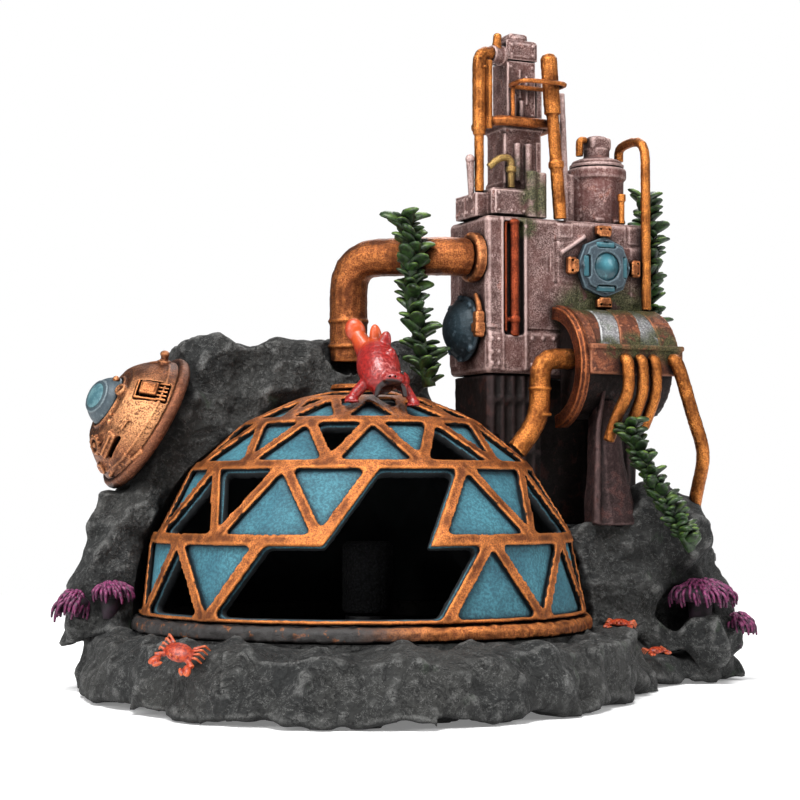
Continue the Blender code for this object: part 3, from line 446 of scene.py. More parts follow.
for crag, lumps in (("left_crag", left_lumps), ("right_crag", right_lumps)):
    foot = copy_of(crag, crag + "_foot")
    foot.data.transform(Matrix.Translation((0, 0, -4.5 * MM)))
    mass = rough_rock(crag, 0.9, 7.0, foot, *lumps)
    carve(mass, ball(DOME_CENTRE, [DOME_RADIUS + 1.2] * 3, segments=96), solver="MANIFOLD")
    place_piece(mass, rock_paint, "rock", crag)


# ---- Dome ----
# A geodesic shell cast in one piece: copper-painted ribs over recessed teal panels, some cells
# left open, a rough copper foot ring and a small cap. What faces the inside is painted black: painted shade.
def cast(piece, voxel=0.4, smoothing=2, pits=0.15, grain=1.4):
    """Melt the shapes of a piece into one skin with soft fillets and a slightly pitted surface."""
    apply(piece, "REMESH", mode="VOXEL", voxel_size=voxel * MM)
    if smoothing:
        apply(piece, "SMOOTH", factor=0.5, iterations=smoothing)
    displace(piece, "CLOUDS", grain, pits, 0.5, noise_depth=2)
    bpy.ops.object.shade_smooth()


def copper_paint(name, bright=(0.72, 0.225, 0.048), middle=(0.18, 0.044, 0.014), worn=0.0):
    """Metallic copper paint: fine flakes and edges dry-brushed bright, broad patches of painted highlight,
    and painted shade, nearly black, in the hollows.
    """
    paint = Paint(name, metallic=0.92)
    flakes = paint.noise(0.42, 3.0, 0.75)
    patch = paint.noise(7.0, 3.0, 0.6)
    air = paint.open_air(4.5).between(0.30, 0.92)
    edge = paint.ridges(0.497, 0.54)
    # Broad patches that brighten the copper flakes: painted highlight.
    lightened = patch.between(0.36, 0.62) * 0.75 + 0.12
    shine = flakes.between(0.38 + worn, 0.62 + worn) * lightened + edge * 0.5
    shine = (shine * air).least(1.0)
    colour = paint.mix(patch.between(0.35, 0.65), tuple(part * 0.5 for part in middle), middle)
    colour = paint.mix(shine, colour, bright)
    # Hollows darkened nearly to black: painted shade.
    colour = paint.mix(air, (0.008, 0.004, 0.003), colour)
    paint.set(base_color=colour, roughness=0.42 - shine * 0.14,
              normal=paint.bump(flakes + patch * 0.4, 0.28, 0.9))
    return paint


def paint_inside_shade(paint, low=-0.1, high=0.35):
    """Paint what faces the middle of the dome black, as painted shade inside the dome."""
    colour = paint.shader.inputs["Base Color"].links[0].from_socket
    shown = paint.outward(DOME_CENTRE).between(low, high)
    paint.set(base_color=paint.mix(shown, (0.003, 0.003, 0.003), colour), metallic=shown * 0.8,
              roughness=0.95 - shown * 0.5)


rib_copper = copper_paint("rib_copper", bright=(0.80, 0.275, 0.070), middle=(0.26, 0.075, 0.032))
paint_inside_shade(rib_copper)
ribs = copy_of("dome_lattice", "dome_ribs")
cast(ribs, 0.7, 2, 0.25)
apply(ribs, "DISPLACE", strength=-0.20 * MM, mid_level=0.0)
bpy.ops.object.shade_smooth()
place_piece(ribs, rib_copper, "copper", "dome_lattice")

panel_paint = Paint("panel_paint", roughness=0.72)
speckle = panel_paint.noise(0.8, 3.0, 0.75)
cloudy = panel_paint.noise(11.0, 2.0)
# Panels darkened where the ribs crowd them, with the dark speckle strongest there: painted shade along the
# ribs.
rib_edge_shade = panel_paint.open_air(6.5).between(0.38, 0.96)
teal = panel_paint.mix(cloudy.between(0.3, 0.7), (0.034, 0.150, 0.200), (0.062, 0.235, 0.295))
teal = panel_paint.mix(speckle.between(0.62, 0.40) * (1.25 - rib_edge_shade * 0.65), teal, (0.010, 0.045, 0.070))
teal = panel_paint.mix(rib_edge_shade, (0.006, 0.018, 0.028), teal)
# The panels' inner face painted black: painted shade inside the dome.
outer_face = panel_paint.outward(DOME_CENTRE).between(0.45, 0.75)
teal = panel_paint.mix(outer_face, (0.004, 0.006, 0.008), teal)
panel_paint.set(base_color=teal, normal=panel_paint.bump(speckle, 0.25, 0.6))
panels = copy_of("dome_shell", "dome_panels")
cast(panels, 0.85, 3, 0.25, 3.0)
place_piece(panels, panel_paint, "teal_panel", "dome_shell")

skirt = rod((*DOME_CENTRE.xy, 17.5), (*DOME_CENTRE.xy, 22.9), DOME_RADIUS - 3.6, sides=96)
carve(skirt, rod((*DOME_CENTRE.xy, 17), (*DOME_CENTRE.xy, 24), DOME_RADIUS - 5.4, sides=96))
foot_ring = gather("dome_foot_ring", copy_of("dome_sill_ring", "foot_ring_core"), skirt)
cast(foot_ring, 0.6, 2, 0.9, 2.4)
foot_paint = copper_paint("foot_copper", bright=(0.82, 0.29, 0.08), middle=(0.26, 0.07, 0.03))
paint_inside_shade(foot_paint, -0.3, 0.1)
foot_colour = foot_paint.shader.inputs["Base Color"].links[0].from_socket
gilded = foot_paint.distance((48.0, -30.0, 20.0)).between(66.0, 38.0)
gilded = gilded.most(foot_paint.noise(3.0, 4.0, 0.7).between(0.56, 0.66) * 0.55)
foot_paint.set(base_color=foot_paint.mix(gilded, (0.030, 0.027, 0.026), foot_colour), metallic=gilded * 0.8)
place_piece(foot_ring, foot_paint, "copper", "dome_sill_ring")

crown_paint = copper_paint("crown_paint")
cap_blue = crown_paint.mix(crown_paint.noise(1.2).between(0.4, 0.6), (0.05, 0.10, 0.14), (0.13, 0.20, 0.24))
crown_top = crown_paint.distance(DOME_CENTRE + Vector((0, 0, 68.4))).between(8.6, 7.8)
crown_copper = crown_paint.shader.inputs["Base Color"].links[0].from_socket
crown_paint.set(base_color=crown_paint.mix(crown_top, crown_copper, cap_blue),
                metallic=0.7 - crown_top * 0.6)
crown = copy_of("dome_crown", "dome_cap")
cast(crown, 0.35, 2, 0.2)
place_piece(crown, crown_paint, "copper", "dome_crown")


# ---- Air works ----
# Black moulded barb, tube and elbow that bring the air in through the base, and a block of
# bonded grit pushed over the last barb; it lifts off for cleaning.
hose_paint = Paint("hose_paint", roughness=0.45)
scuffs = hose_paint.noise(1.5, 4.0, 0.7)
hose_paint.set(base_color=hose_paint.mix(scuffs.between(0.5, 0.7), (0.014, 0.014, 0.015),
                                         (0.035, 0.035, 0.037)),
               roughness=0.36 + scuffs * 0.3, normal=hose_paint.bump(scuffs, 0.08))
for node in ("air_inlet_barb", "air_line", "air_elbow"):
    fitting = copy_of(node, node + "_moulding")
    apply(fitting, "BEVEL", width=0.12 * MM, segments=2, limit_method="ANGLE")
    bpy.ops.object.shade_smooth()
    place_piece(fitting, hose_paint, "hose_plastic", node)

grit_paint = Paint("grit_paint", roughness=0.95)
grit = grit_paint.cells(0.8)
grit_paint.set(base_color=grit_paint.mix(grit.between(0.2, 0.6), (0.016, 0.017, 0.019),
                                         (0.006, 0.006, 0.007)),
               normal=grit_paint.bump(grit, 0.5))
stone_block = copy_of("air_stone", "air_stone_block")
apply(stone_block, "REMESH", mode="VOXEL", voxel_size=0.35 * MM)
displace(stone_block, "VORONOI", 1.1, -0.45, 0.3)
bpy.ops.object.shade_smooth()
place_piece(stone_block, grit_paint, "pumice", "air_stone", body="air_stone")


# ---- Tower footing and leg ----
# Dark columns that carry the box round a black passage, ribbed with thin pipes, and in front the
# cracked column like an old trunk, purple-brown with pale worn edges.
TOWER = Matrix.Translation((0.0266, 0.025, 0)) @ Matrix.Rotation(math.radians(25), 4, "Z")


def in_tower(a, b, z):
    """World place, in millimetres, of a point in the tower's frame."""
    return (TOWER @ (Vector((a, b, z)) * MM)) / MM


def metal_paint(name, ground=(0.125, 0.050, 0.042), light=(0.60, 0.43, 0.40), rust=(0.22, 0.060, 0.034),
                rusty=0.60, brush=1.0, moss=()):
    """Worn machine metal: speckled dry-brushing on edges and faces, rust patches, and painted shade, nearly
    black, in the hollows.
    """
    paint = Paint(name, metallic=0.55)
    speckle = paint.noise(0.42, 3.0, 0.8)
    patch = paint.noise(9.0, 3.0, 0.6)
    smear = paint.noise(4.0, 4.0, 0.65, 0.5)
    air = paint.open_air(4.0).between(0.30, 0.92)
    edge = paint.ridges(0.498, 0.535)
    dry = speckle.between(0.42, 0.62) * (smear.between(0.35, 0.65) * 0.60 + 0.16) + edge * 0.75
    dry = (dry * air * brush).least(1.0)
    colour = paint.mix(patch.between(0.35, 0.65), tuple(part * 0.55 for part in ground), ground)
    colour = paint.mix(smear.between(rusty, rusty + 0.08) * 0.85, colour, rust)
    colour = paint.mix(dry, colour, light)
    # Hollows darkened nearly to black: painted shade.
    colour = paint.mix(air, (0.008, 0.005, 0.005), colour)
    for point, reach in moss:
        grown = paint.distance(point).between(reach, reach * 0.45) * smear.between(0.34, 0.48) * 0.9
        green = paint.mix(speckle.between(0.45, 0.6), (0.022, 0.028, 0.010), (0.120, 0.125, 0.048))
        colour = paint.mix(grown, colour, green)
    paint.set(base_color=colour, roughness=0.62 - dry * 0.18,
              normal=paint.bump(speckle + smear * 0.6, 0.28, 0.8))
    return paint


dark_paint = metal_paint("dark_metal_paint", ground=(0.010, 0.006, 0.005), light=(0.08, 0.05, 0.05),
                         rust=(0.050, 0.014, 0.009), rusty=0.56, brush=0.5)
footing = [copy_of("tower_footing", "footing_core")]
for a in (2.6, 6.2, 9.8, 13.4, 17.0):
    footing.append(rod((a, 1.9, 48.6), (a, 1.9, 94.5), 1.0, place=TOWER))
for a in (46.5, 50.0, 53.5):
    footing.append(rod((a, 5.9, 48.6), (a, 5.9, 94.5), 1.1, place=TOWER))
for z in (58.0, 70.0, 86.0):
    footing.append(box((1.2, 1.0, z), (19.8, 2.6, z + 1.6), TOWER, 0.3))
footing = gather("footing", *footing)
cast(footing, 0.65, 1, 0.3, 2.0)
place_piece(footing, dark_paint, "dark_metal", "tower_footing")

# The leg is the box's mauve metal painted far darker: painted shade of the low part of the tower under the
# hood.
leg_shade_paint = metal_paint("leg_shade_paint", ground=(0.026, 0.011, 0.011), light=(0.19, 0.115, 0.11),
                        rust=(0.060, 0.016, 0.012), rusty=0.55,
                        brush=0.5)
leg = [copy_of("tower_leg", "leg_core"),
       rod((30.0, -14.4, 48.6), (31.2, -13.6, 78.0), 1.5, 0.9, TOWER, 6),
       rod((31.2, -13.6, 78.0), (33.6, -13.4, 91.0), 0.9, 0.8, TOWER, 6)]
leg = gather("leg", *leg)
cast(leg, 0.45, 1, 0.35, 2.0)
split = ((31.0, 66.5), (31.6, 63.4), (35.0, 60.8), (38.0, 59.6), (41.5, 60.2))
for (a0, z0), (a1, z1) in zip(split, split[1:]):
    carve(leg, rod((a0, -17.2, z0), (a1, -17.4, z1), 0.62, 0.5, TOWER, 6))
place_piece(leg, leg_shade_paint, "mauve_metal", "tower_leg")


# ---- Tower box ----
# The riveted machine room: purple-brown plates with open seams, a recess with two thin red pipes
# at the left front corner, and rivets along the lower band.
def repeated(model, *places):
    """Copies of one shape at several matrices; the model itself is used up."""
    made = []
    for place in places:
        again = bpy.data.objects.new(model.name, model.data.copy())
        again.data.transform(place)
        bpy.context.collection.objects.link(again)
        made.append(again)
    bpy.data.objects.remove(model, do_unlink=True)
    return made


def rivets(radius, points, place=TOWER):
    """Round heads at points of a frame."""
    head = ball((0, 0, 0), (radius, radius, radius), segments=10)
    return repeated(head, *[place @ Matrix.Translation(Vector(point) * MM) for point in points])


def groove(low, high):
    """Cutter for a seam in the tower's frame."""
    wide = Vector((0.15, 0.25, 0.15))
    return box(Vector(low) - wide, Vector(high) + wide, TOWER)


box_paint = metal_paint("box_paint", rusty=0.62,
                        moss=((in_tower(34, -2, 115.0), 13.0), (in_tower(48, -2, 114.0), 14.0),
                              (in_tower(14, 0, 141.0), 5.0)))
machine_box = copy_of("tower_box", "machine_box_core")
carve(machine_box,
      groove((13.6, -1, 108.2), (60, 0.7, 108.8)), groove((-1, -1, 108.2), (5.0, 0.7, 108.8)),
      groove((24.1, -1, 123.6), (24.7, 0.6, 137.3)), groove((23.1, -1, 136.9), (28.8, 0.6, 137.5)),
      groove((22.6, -1, 123.3), (31.3, 0.6, 123.9)), groove((21.5, -1, 127.1), (22.1, 0.6, 133.1)),
      groove((31.6, -1, 116.0), (32.2, 0.6, 123.4)), groove((32.0, -1, 117.8), (36.0, 0.6, 118.4)),
      groove((50.0, -1, 136.6), (50.6, 0.6, 143)), groove((50.0, -1, 136.4), (55.6, 0.6, 137.0)),
      groove((-1, 3.6, 120.0), (0.6, 25, 120.6)), groove((-1, 18.0, 97.0), (0.6, 18.6, 142)))
plates = [machine_box,
          box((5.0, -0.5, 96.0), (5.9, 1.0, 143.4), TOWER, 0.2),
          box((12.9, -0.6, 96.0), (14.0, 1.0, 143.2), TOWER, 0.2),
          box((14.0, -0.45, 96.4), (24.6, 1.0, 107.4), TOWER, 0.2),
          box((0.6, -0.4, 96.4), (4.8, 1.0, 107.4), TOWER, 0.2),
          box((25.0, -0.45, 138.2), (30.5, 1.0, 142.4), TOWER, 0.2),
          rod((26.1, -0.3, 133.2), (34.9, -0.3, 138.9), 0.8, place=TOWER),
          box((51.2, -0.4, 118.0), (57.2, 1.0, 135.6), TOWER, 0.2),
          box((-0.5, 20.0, 98.0), (1.0, 25.0, 118.0), TOWER, 0.2),
          box((3.0, 25.4, 98.0), (27.5, 26.5, 118.0), TOWER, 0.2),
          box((29.5, 25.4, 98.0), (55.0, 26.5, 118.0), TOWER, 0.2),
          box((3.0, 25.4, 122.0), (55.0, 26.5, 141.0), TOWER, 0.2),
          box((57.2, 3.0, 98.0), (58.5, 23.0, 141.0), TOWER, 0.2)]
heads = [(a, -0.4, z) for a in (1.6, 3.9) for z in (98.0, 101.5, 105.5)]
heads += [(a, -0.5, z) for a in (15.4, 19.3, 23.2) for z in (97.8, 106.0)]
heads += [(a, 26.4, z) for a in range(5, 56, 7) for z in (99.4, 116.4, 123.4, 139.6)]
heads += [(58.4, b, z) for b in range(5, 23, 4) for z in (99.6, 139.4)]
heads += [(0.0, b, z) for b in (20.9, 24.2) for z in (99.4, 108.0, 116.6)]
machine_box = gather("machine_box", *plates, *rivets(0.62, heads))
cast(machine_box, 0.46, 1, 0.14)
place_piece(machine_box, box_paint, "mauve_metal", "tower_box")

red_copper = copper_paint("red_copper_paint", bright=(0.50, 0.10, 0.035), middle=(0.16, 0.026, 0.014),
                          worn=0.02)
corner_pipe = gather("corner_pipes", copy_of("corner_pipe", "corner_pipe_core"),
                     rod((10.0, 0.7, 106.6), (10.0, 0.7, 142.6), 1.5, place=TOWER),
                     rod((7.1, 1.2, 108.0), (7.1, 1.2, 142.4), 0.6, place=TOWER),
                     ball((9.9, 0.7, 142.0), (1.9, 1.5, 1.2), TOWER),
                     ball((9.9, 0.7, 107.6), (1.6, 1.5, 1.4), TOWER),
                     rod((10.0, 0.7, 111.0), (10.0, 0.7, 112.4), 1.85, place=TOWER))
cast(corner_pipe, 0.3, 1, 0.12)
place_piece(corner_pipe, red_copper, "red_copper", "corner_pipe")


# ---- Portholes ----
# The front one is an octagonal slate-blue frame held by four copper clamps, with a teal bull's eye
# and four curved panes; the side one is a dark dome under a bent copper clamp.
def slate_paint_for(name, ground, light):
    """Matt blue-grey paint, speckled and dry-brushed pale on its edges, with painted shade, nearly black, in
    its hollows.
    """
    paint = Paint(name, roughness=0.55, metallic=0.15)
    speckle = paint.noise(0.6, 3.0, 0.7)
    lightened = (speckle.between(0.52, 0.68) * 0.45 + paint.ridges(0.498, 0.54) * 0.7)
    air = paint.open_air(3.0).between(0.3, 0.9)
    colour = paint.mix((lightened * air).least(1.0), ground, light)
    # Hollows darkened nearly to black: painted shade.
    colour = paint.mix(air, (0.006, 0.009, 0.012), colour)
    paint.set(base_color=colour, normal=paint.bump(speckle, 0.15, 0.6))
    return paint


slate = slate_paint_for("slate_paint", (0.030, 0.048, 0.064), (0.13, 0.19, 0.22))
FRONT = TOWER @ Matrix.Translation((0.0406, 0, 0.1292)) @ Matrix.Rotation(math.radians(90), 4, "X")


def ring(centre, radius, thickness, direction=(0, 0, 1), place=WORLD, flat=1.0):
    """Torus round a direction; flat scales its thickness along that direction."""
    bpy.ops.mesh.primitive_torus_add(major_radius=radius * MM, minor_radius=thickness * MM,
                                     major_segments=40, minor_segments=12,
                                     location=Vector(centre) * MM,
                                     rotation=Vector(direction).to_track_quat("Z", "Y").to_euler())
    bpy.context.object.scale.z = flat
    return settle(place)


porthole = copy_of("hatch_frame", "porthole_core")
for angle in (0, 90, 180, 270):
    turn = FRONT @ Matrix.Rotation(math.radians(angle), 4, "Z")
    carve(porthole, box((-3.5, 5.8, 2.7), (3.5, 8.0, 6.0), turn, 0.5))
porthole = gather("porthole", porthole, ring((0, 0, 3.6), 4.9, 0.55, place=FRONT))
cast(porthole, 0.28, 1, 0.08)
place_piece(porthole, slate, "slate", "hatch_frame")

lens_paint = Paint("lens_paint", roughness=0.35, coat=0.3)
milky = lens_paint.noise(1.6, 4.0, 0.7)
glow = lens_paint.distance(in_tower(40.4, -4.2, 130.2)).between(3.6, 0.5)
slots = lens_paint.distance(in_tower(40.6, -4.0, 129.2)).between(5.0, 5.6)
glow = glow.most(slots * 0.35)
teal_glass = lens_paint.mix(glow, (0.010, 0.060, 0.080), (0.050, 0.215, 0.265))
teal_glass = lens_paint.mix(milky.between(0.55, 0.72) * 0.45, teal_glass, (0.12, 0.32, 0.37))
lens_paint.set(base_color=teal_glass, roughness=0.30 + milky * 0.25, normal=lens_paint.bump(milky, 0.1))
eye = [copy_of("hatch_lens", "eye_core")]
for angle in (0, 90, 180, 270):
    turn = FRONT @ Matrix.Rotation(math.radians(angle), 4, "Z")
    eye.append(box((-3.3, 6.0, 2.4), (3.3, 7.8, 3.35), turn, 0.3))
eye = gather("porthole_panes", *eye)
cast(eye, 0.28, 1, 0.06)
place_piece(eye, lens_paint, "lens", "hatch_lens")

clamp_copper = copper_paint("clamp_copper", bright=(0.80, 0.32, 0.12), middle=(0.26, 0.075, 0.030))
for name, angle in (("top", 0), ("left", 90), ("bottom", 180), ("right", 270)):
    turn = FRONT @ Matrix.Rotation(math.radians(angle), 4, "Z") @ Matrix.Translation((0, 0.0116, 0))
    clamp = gather("porthole_clamp_" + name, copy_of("hatch_clamp_" + name, "clamp_core"),
                   box((-2.0, -2.0, 0.6), (2.0, 0.2, 3.2), turn, 0.3))
    cast(clamp, 0.22, 1, 0.15, 0.9)
    for x in (-1.6, 1.6):
        carve(clamp, rod((x, 0.3, 2.0), (x, 0.3, 5.0), 0.42, place=turn, sides=10))
    place_piece(clamp, clamp_copper, "copper", "hatch_clamp_" + name)

LEFT_SIDE = TOWER @ Matrix.Translation((-0.0003, 0.0134, 0.1094))
LEFT_SIDE = LEFT_SIDE @ Matrix.Rotation(math.radians(-90), 4, "Y")
side_port = [copy_of("side_port_dome", "side_port_core"), ring((0, 0, 1.0), 9.4, 0.9, place=LEFT_SIDE)]
for angle in range(0, 360, 45):
    turn = LEFT_SIDE @ Matrix.Rotation(math.radians(angle), 4, "Z")
    side_port.append(box((8.2, -1.1, 0.6), (10.4, 1.1, 2.8), turn, 0.4))
side_port = gather("side_port", *side_port)
cast(side_port, 0.32, 2, 0.1)
dark_slate = slate_paint_for("side_slate_paint", (0.010, 0.026, 0.036), (0.07, 0.11, 0.14))
place_piece(side_port, dark_slate, "slate", "side_port_dome")
bracket = gather("side_bracket", copy_of("side_port_clamp", "side_clamp_core"),
                 rod((-1.4, 1.8, 112.0), (-1.6, 2.6, 116.5), 1.1, 0.9, TOWER),
                 rod((-1.6, 2.6, 116.5), (-1.2, 5.0, 119.5), 0.9, 0.8, TOWER),
                 box((-3.7, 0.0, 107.4), (-0.4, 3.7, 110.4), TOWER, 0.4))
cast(bracket, 0.28, 1, 0.15)
place_piece(bracket, clamp_copper, "copper", "side_port_clamp")


# ---- Drum and hood ----
# A dark drum half sunk in the wall under a quarter-round hood: riveted red-copper bands, two
# glazed silver panes, green moss at their feet, a brown fascia and a half ring at the left end.
AXIS = (0, 0, 0.097)


def swept_band(name, a_low, a_high, inner, outer, start, end, lean=0.0):
    """Band round the drum's axis, between two radii and two angles up from the front."""
    bpy.ops.mesh.primitive_plane_add(size=1.0, location=(0, 0, 0))
    band = bpy.context.object
    band.name = name
    band.scale = ((a_high - a_low) * MM, (outer - inner) * MM, 1.0)
    band.location = ((a_low + a_high) / 2 * MM, -(inner + outer) / 2 * MM, 0)
    choose(band)
    bpy.ops.object.transform_apply(location=True, rotation=True, scale=True)
    band.data.transform(Matrix.Rotation(math.radians(-start), 4, "X"))
    bpy.ops.object.mode_set(mode="EDIT")
    bpy.ops.mesh.select_all(action="SELECT")
    bpy.ops.mesh.spin(steps=max(4, int((end - start) / 6)), angle=math.radians(end - start),
                      center=(0, 0, 0), axis=(1, 0, 0))
    bpy.ops.mesh.select_all(action="SELECT")
    bpy.ops.mesh.normals_make_consistent(inside=False)
    bpy.ops.object.mode_set(mode="OBJECT")
    slant = Matrix.Identity(4)
    slant[0][2] = lean
    band.data.transform(TOWER @ Matrix.Translation(AXIS) @ slant)
    return band


drum = copy_of("tower_drum", "drum")
cast(drum, 0.5, 2, 0.25)
place_piece(drum, dark_paint, "dark_metal", "tower_drum")

HOOD_MOSS = ((in_tower(33, -19.0, 103.0), 5.5), (in_tower(42, -19.0, 103.5), 7.0),
             (in_tower(52, -18.5, 104.5), 8.5), (in_tower(30, -3.0, 115.0), 8.5),
             (in_tower(40, -3.0, 115.2), 9.5), (in_tower(51, -3.0, 115.0), 10.5))
hood_paint = metal_paint("hood_paint", ground=(0.105, 0.032, 0.020), light=(0.44, 0.17, 0.085),
                         rust=(0.20, 0.055, 0.024), rusty=0.50, brush=0.85, moss=HOOD_MOSS)
hood = [copy_of("drum_hood", "hood_core"),
        swept_band("band", 24.8, 28.4, 17.4, 19.1, 18, 88),
        swept_band("band", 34.8, 42.2, 17.4, 19.1, 20, 78, 0.28),
        swept_band("band", 51.0, 57.6, 17.4, 19.1, 18, 80),
        box((24.8, -20.3, 94.2), (57.9, -17.2, 103.0), TOWER, 0.5),
        box((24.6, -20.9, 101.8), (58.1, -17.0, 103.4), TOWER, 0.4)]
heads = []
for a in (25.9, 27.6, 35.8, 38.4, 41.2, 52.2, 56.6):
    for angle in (26, 42, 58, 72):
        spot = math.radians(angle)
        slide = 0.28 * 19 * math.sin(spot) if 30 < a < 45 else 0.0
        heads.append((a + slide, -19.0 * math.cos(spot), 97 + 19.0 * math.sin(spot)))
heads += [(a, -20.3, z) for a in (26.2, 29.6) for z in (95.8, 100.2)]
heads += [(56.6, -20.3, z) for z in (99.8, 96.0)]
hood = gather("hood", *hood, *rivets(0.5, heads))
cast(hood, 0.34, 1, 0.2)
place_piece(hood, hood_paint, "red_copper", "drum_hood")

pane_paint = metal_paint("pane_paint", ground=(0.21, 0.20, 0.21), light=(0.62, 0.62, 0.62),
                         rust=(0.13, 0.15, 0.11),
                         rusty=0.55, moss=HOOD_MOSS)
panes = gather("hood_panes", swept_band("pane", 28.2, 35.0, 18.0, 18.75, 19, 84, 0.28),
               swept_band("pane", 42.0, 51.2, 18.0, 18.75, 19, 82, 0.28))
cast(panes, 0.3, 1, 0.3, 1.0)
place_piece(panes, pane_paint, "mauve_metal")

end_ring = gather("end_ring", copy_of("drum_end_ring", "end_ring_core"),
                  swept_band("rim", 23.4, 25.2, 18.4, 19.6, -74, 86))
cast(end_ring, 0.32, 1, 0.15)
place_piece(end_ring, copper_paint("ring_copper", bright=(0.62, 0.20, 0.07), middle=(0.12, 0.038, 0.026),
                                   worn=0.06),
            "red_copper", "drum_end_ring")


# ---- Stack ----
# A square chimney on a stepped plinth, with half-columns and thin tubes at its foot, two tall
# copper pipes tied to it by a rail and a small hoop, and a squat riveted head.
stack_paint = metal_paint("stack_paint", rusty=0.58,
                          moss=((in_tower(19, 2, 150), 8.0), (in_tower(15, 2, 160), 7.0)))
plinth = [copy_of("roof_plinth", "plinth_core"), box((4.4, 2.4, 144.6), (15.6, 4, 152.4), TOWER, 0.3),
          box((-0.9, 7.0, 144.4), (1.4, 12.0, 151.0), TOWER, 0.3),
          box((-1.0, 13.0, 144.4), (1.0, 19.5, 150.6), TOWER, 0.3),
          rod((17.0, 2.4, 144), (17.0, 2.4, 158.6), 1.8, place=TOWER),
          rod((20.4, 2.6, 144), (20.4, 2.6, 158.2), 1.9, place=TOWER)]
heads = [(a, 2.4, z) for a in (5.6, 14.4) for z in (145.8, 151.2)] + [(10.0, 2.4, 145.8)]
heads += [(-1.0, b, z) for b in (8.0, 11.0, 14.2, 18.4) for z in (145.6, 149.8)]
plinth = gather("plinth", *plinth, *rivets(0.5, heads))
cast(plinth, 0.34, 1, 0.15)
place_piece(plinth, stack_paint, "mauve_metal", "roof_plinth")

column = [copy_of("stack_column", "column_core"),
          rod((14.6, 7.3, 156), (14.6, 7.3, 168), 1.1, place=TOWER),
          rod((18.6, 7.3, 156), (18.6, 7.3, 168), 1.25, place=TOWER),
          box((10.0, 7.0, 155), (10.9, 8.4, 171), TOWER, 0.2),
          box((21.6, 7.4, 157), (23.4, 9, 169), TOWER, 0.2),
          box((12.0, 8.5, 176), (12.8, 9.4, 194), TOWER, 0.2),
          box((16.2, 8.5, 183), (17.0, 9.3, 192), TOWER, 0.2),
          box((18.6, 8.5, 181), (19.4, 9.3, 190), TOWER, 0.2),
          rod((14.2, 8.6, 175), (14.2, 8.6, 184), 0.9, place=TOWER),
          rod((16.8, 8.4, 175), (16.8, 8.4, 182), 0.8, place=TOWER),
          rod((33.0, 8.0, 144), (31.2, 8.0, 185.5), 1.0, place=TOWER),
          rod((34.0, 8.6, 144), (34.0, 8.6, 159.6), 1.7, place=TOWER),
          box((23.0, 10.0, 172), (25.4, 17.0, 189.5), TOWER, 0.6),
          rod((-0.6, 9.0, 150.0), (-1.6, 8.0, 162.0), 0.9, 1.3, TOWER),
          ball((-1.6, 8.0, 162.0), (1.5, 1.5, 1.5), TOWER),
          rod((6.6, 9.6, 196.3), (11.4, 11.0, 196.3), 2.75, place=TOWER),
          rod((10.2, 10.8, 196.3), (11.6, 11.1, 196.3), 3.2, place=TOWER)]
heads = [(a, 8.9, z) for a in (13.4, 21.0) for z in (177.5, 192.8)]
column = gather("column", *column, *rivets(0.5, heads))
cast(column, 0.32, 1, 0.14)
place_piece(column, stack_paint, "mauve_metal", "stack_column")

head = [copy_of("stack_cap", "head_core"), box((12.4, 8.2, 195.8), (22.0, 9.4, 200.4), TOWER, 0.3),
        ball((17.2, 13.0, 202.2), (3.9, 3.6, 1.7), TOWER)]
head = gather("stack_head", *head,
              *rivets(0.45, [(a, 8.2, z) for a in (13.4, 21.0) for z in (196.6, 199.6)]))
cast(head, 0.3, 1, 0.14)
place_piece(head, stack_paint, "mauve_metal", "stack_cap")

pipe_copper = copper_paint("pipe_copper", bright=(0.78, 0.29, 0.065), middle=(0.25, 0.066, 0.018))
left_pipe = [copy_of("stack_pipe_left", "left_pipe_core"),
             rod((5.1, 7.6, 172), (5.1, 7.6, 193.6), 0.95, place=TOWER),
             rod((8.6, 9.4, 197.6), (8.9, 9.4, 202.0), 1.6, 1.3, TOWER),
             ball((8.9, 9.4, 202.0), (1.35, 1.35, 1.0), TOWER)]
left_pipe += rivets(0.55, [(1.0, 5.2, 194.0), (2.4, 5.3, 191.0)])
left_pipe = gather("left_pipe", *left_pipe)
cast(left_pipe, 0.32, 2, 0.22)
place_piece(left_pipe, pipe_copper, "copper", "stack_pipe_left")
right_pipe = copy_of("stack_pipe_right", "right_pipe")
cast(right_pipe, 0.3, 2, 0.25)
place_piece(right_pipe, pipe_copper, "copper", "stack_pipe_right")
rail_copper = copper_paint("rail_copper", bright=(0.70, 0.24, 0.06), middle=(0.20, 0.052, 0.018))
rail = copy_of("stack_rail", "rail")
cast(rail, 0.34, 3, 0.22)
place_piece(rail, rail_copper, "copper", "stack_rail")
hoop = gather("hoop", copy_of("stack_clamp", "hoop_core"),
              rod((12.2, 5.4, 175.5), (12.2, 5.4, 186), 0.7, place=TOWER),
              rod((12.2, 5.4, 186), (11.4, 1.0, 186), 0.75, place=TOWER))
cast(hoop, 0.26, 2, 0.15)
place_piece(hoop, rail_copper, "copper", "stack_clamp")
arch = gather("arch_pipe", copy_of("stack_arch_pipe", "arch_core"),
              rod((11.3, 5, 158.4), (11.3, 5, 160.0), 1.7, place=TOWER))
cast(arch, 0.26, 2, 0.15)
old_brass = copper_paint("old_brass", bright=(0.50, 0.33, 0.11), middle=(0.16, 0.09, 0.04))
place_piece(arch, old_brass, "copper", "stack_arch_pipe")


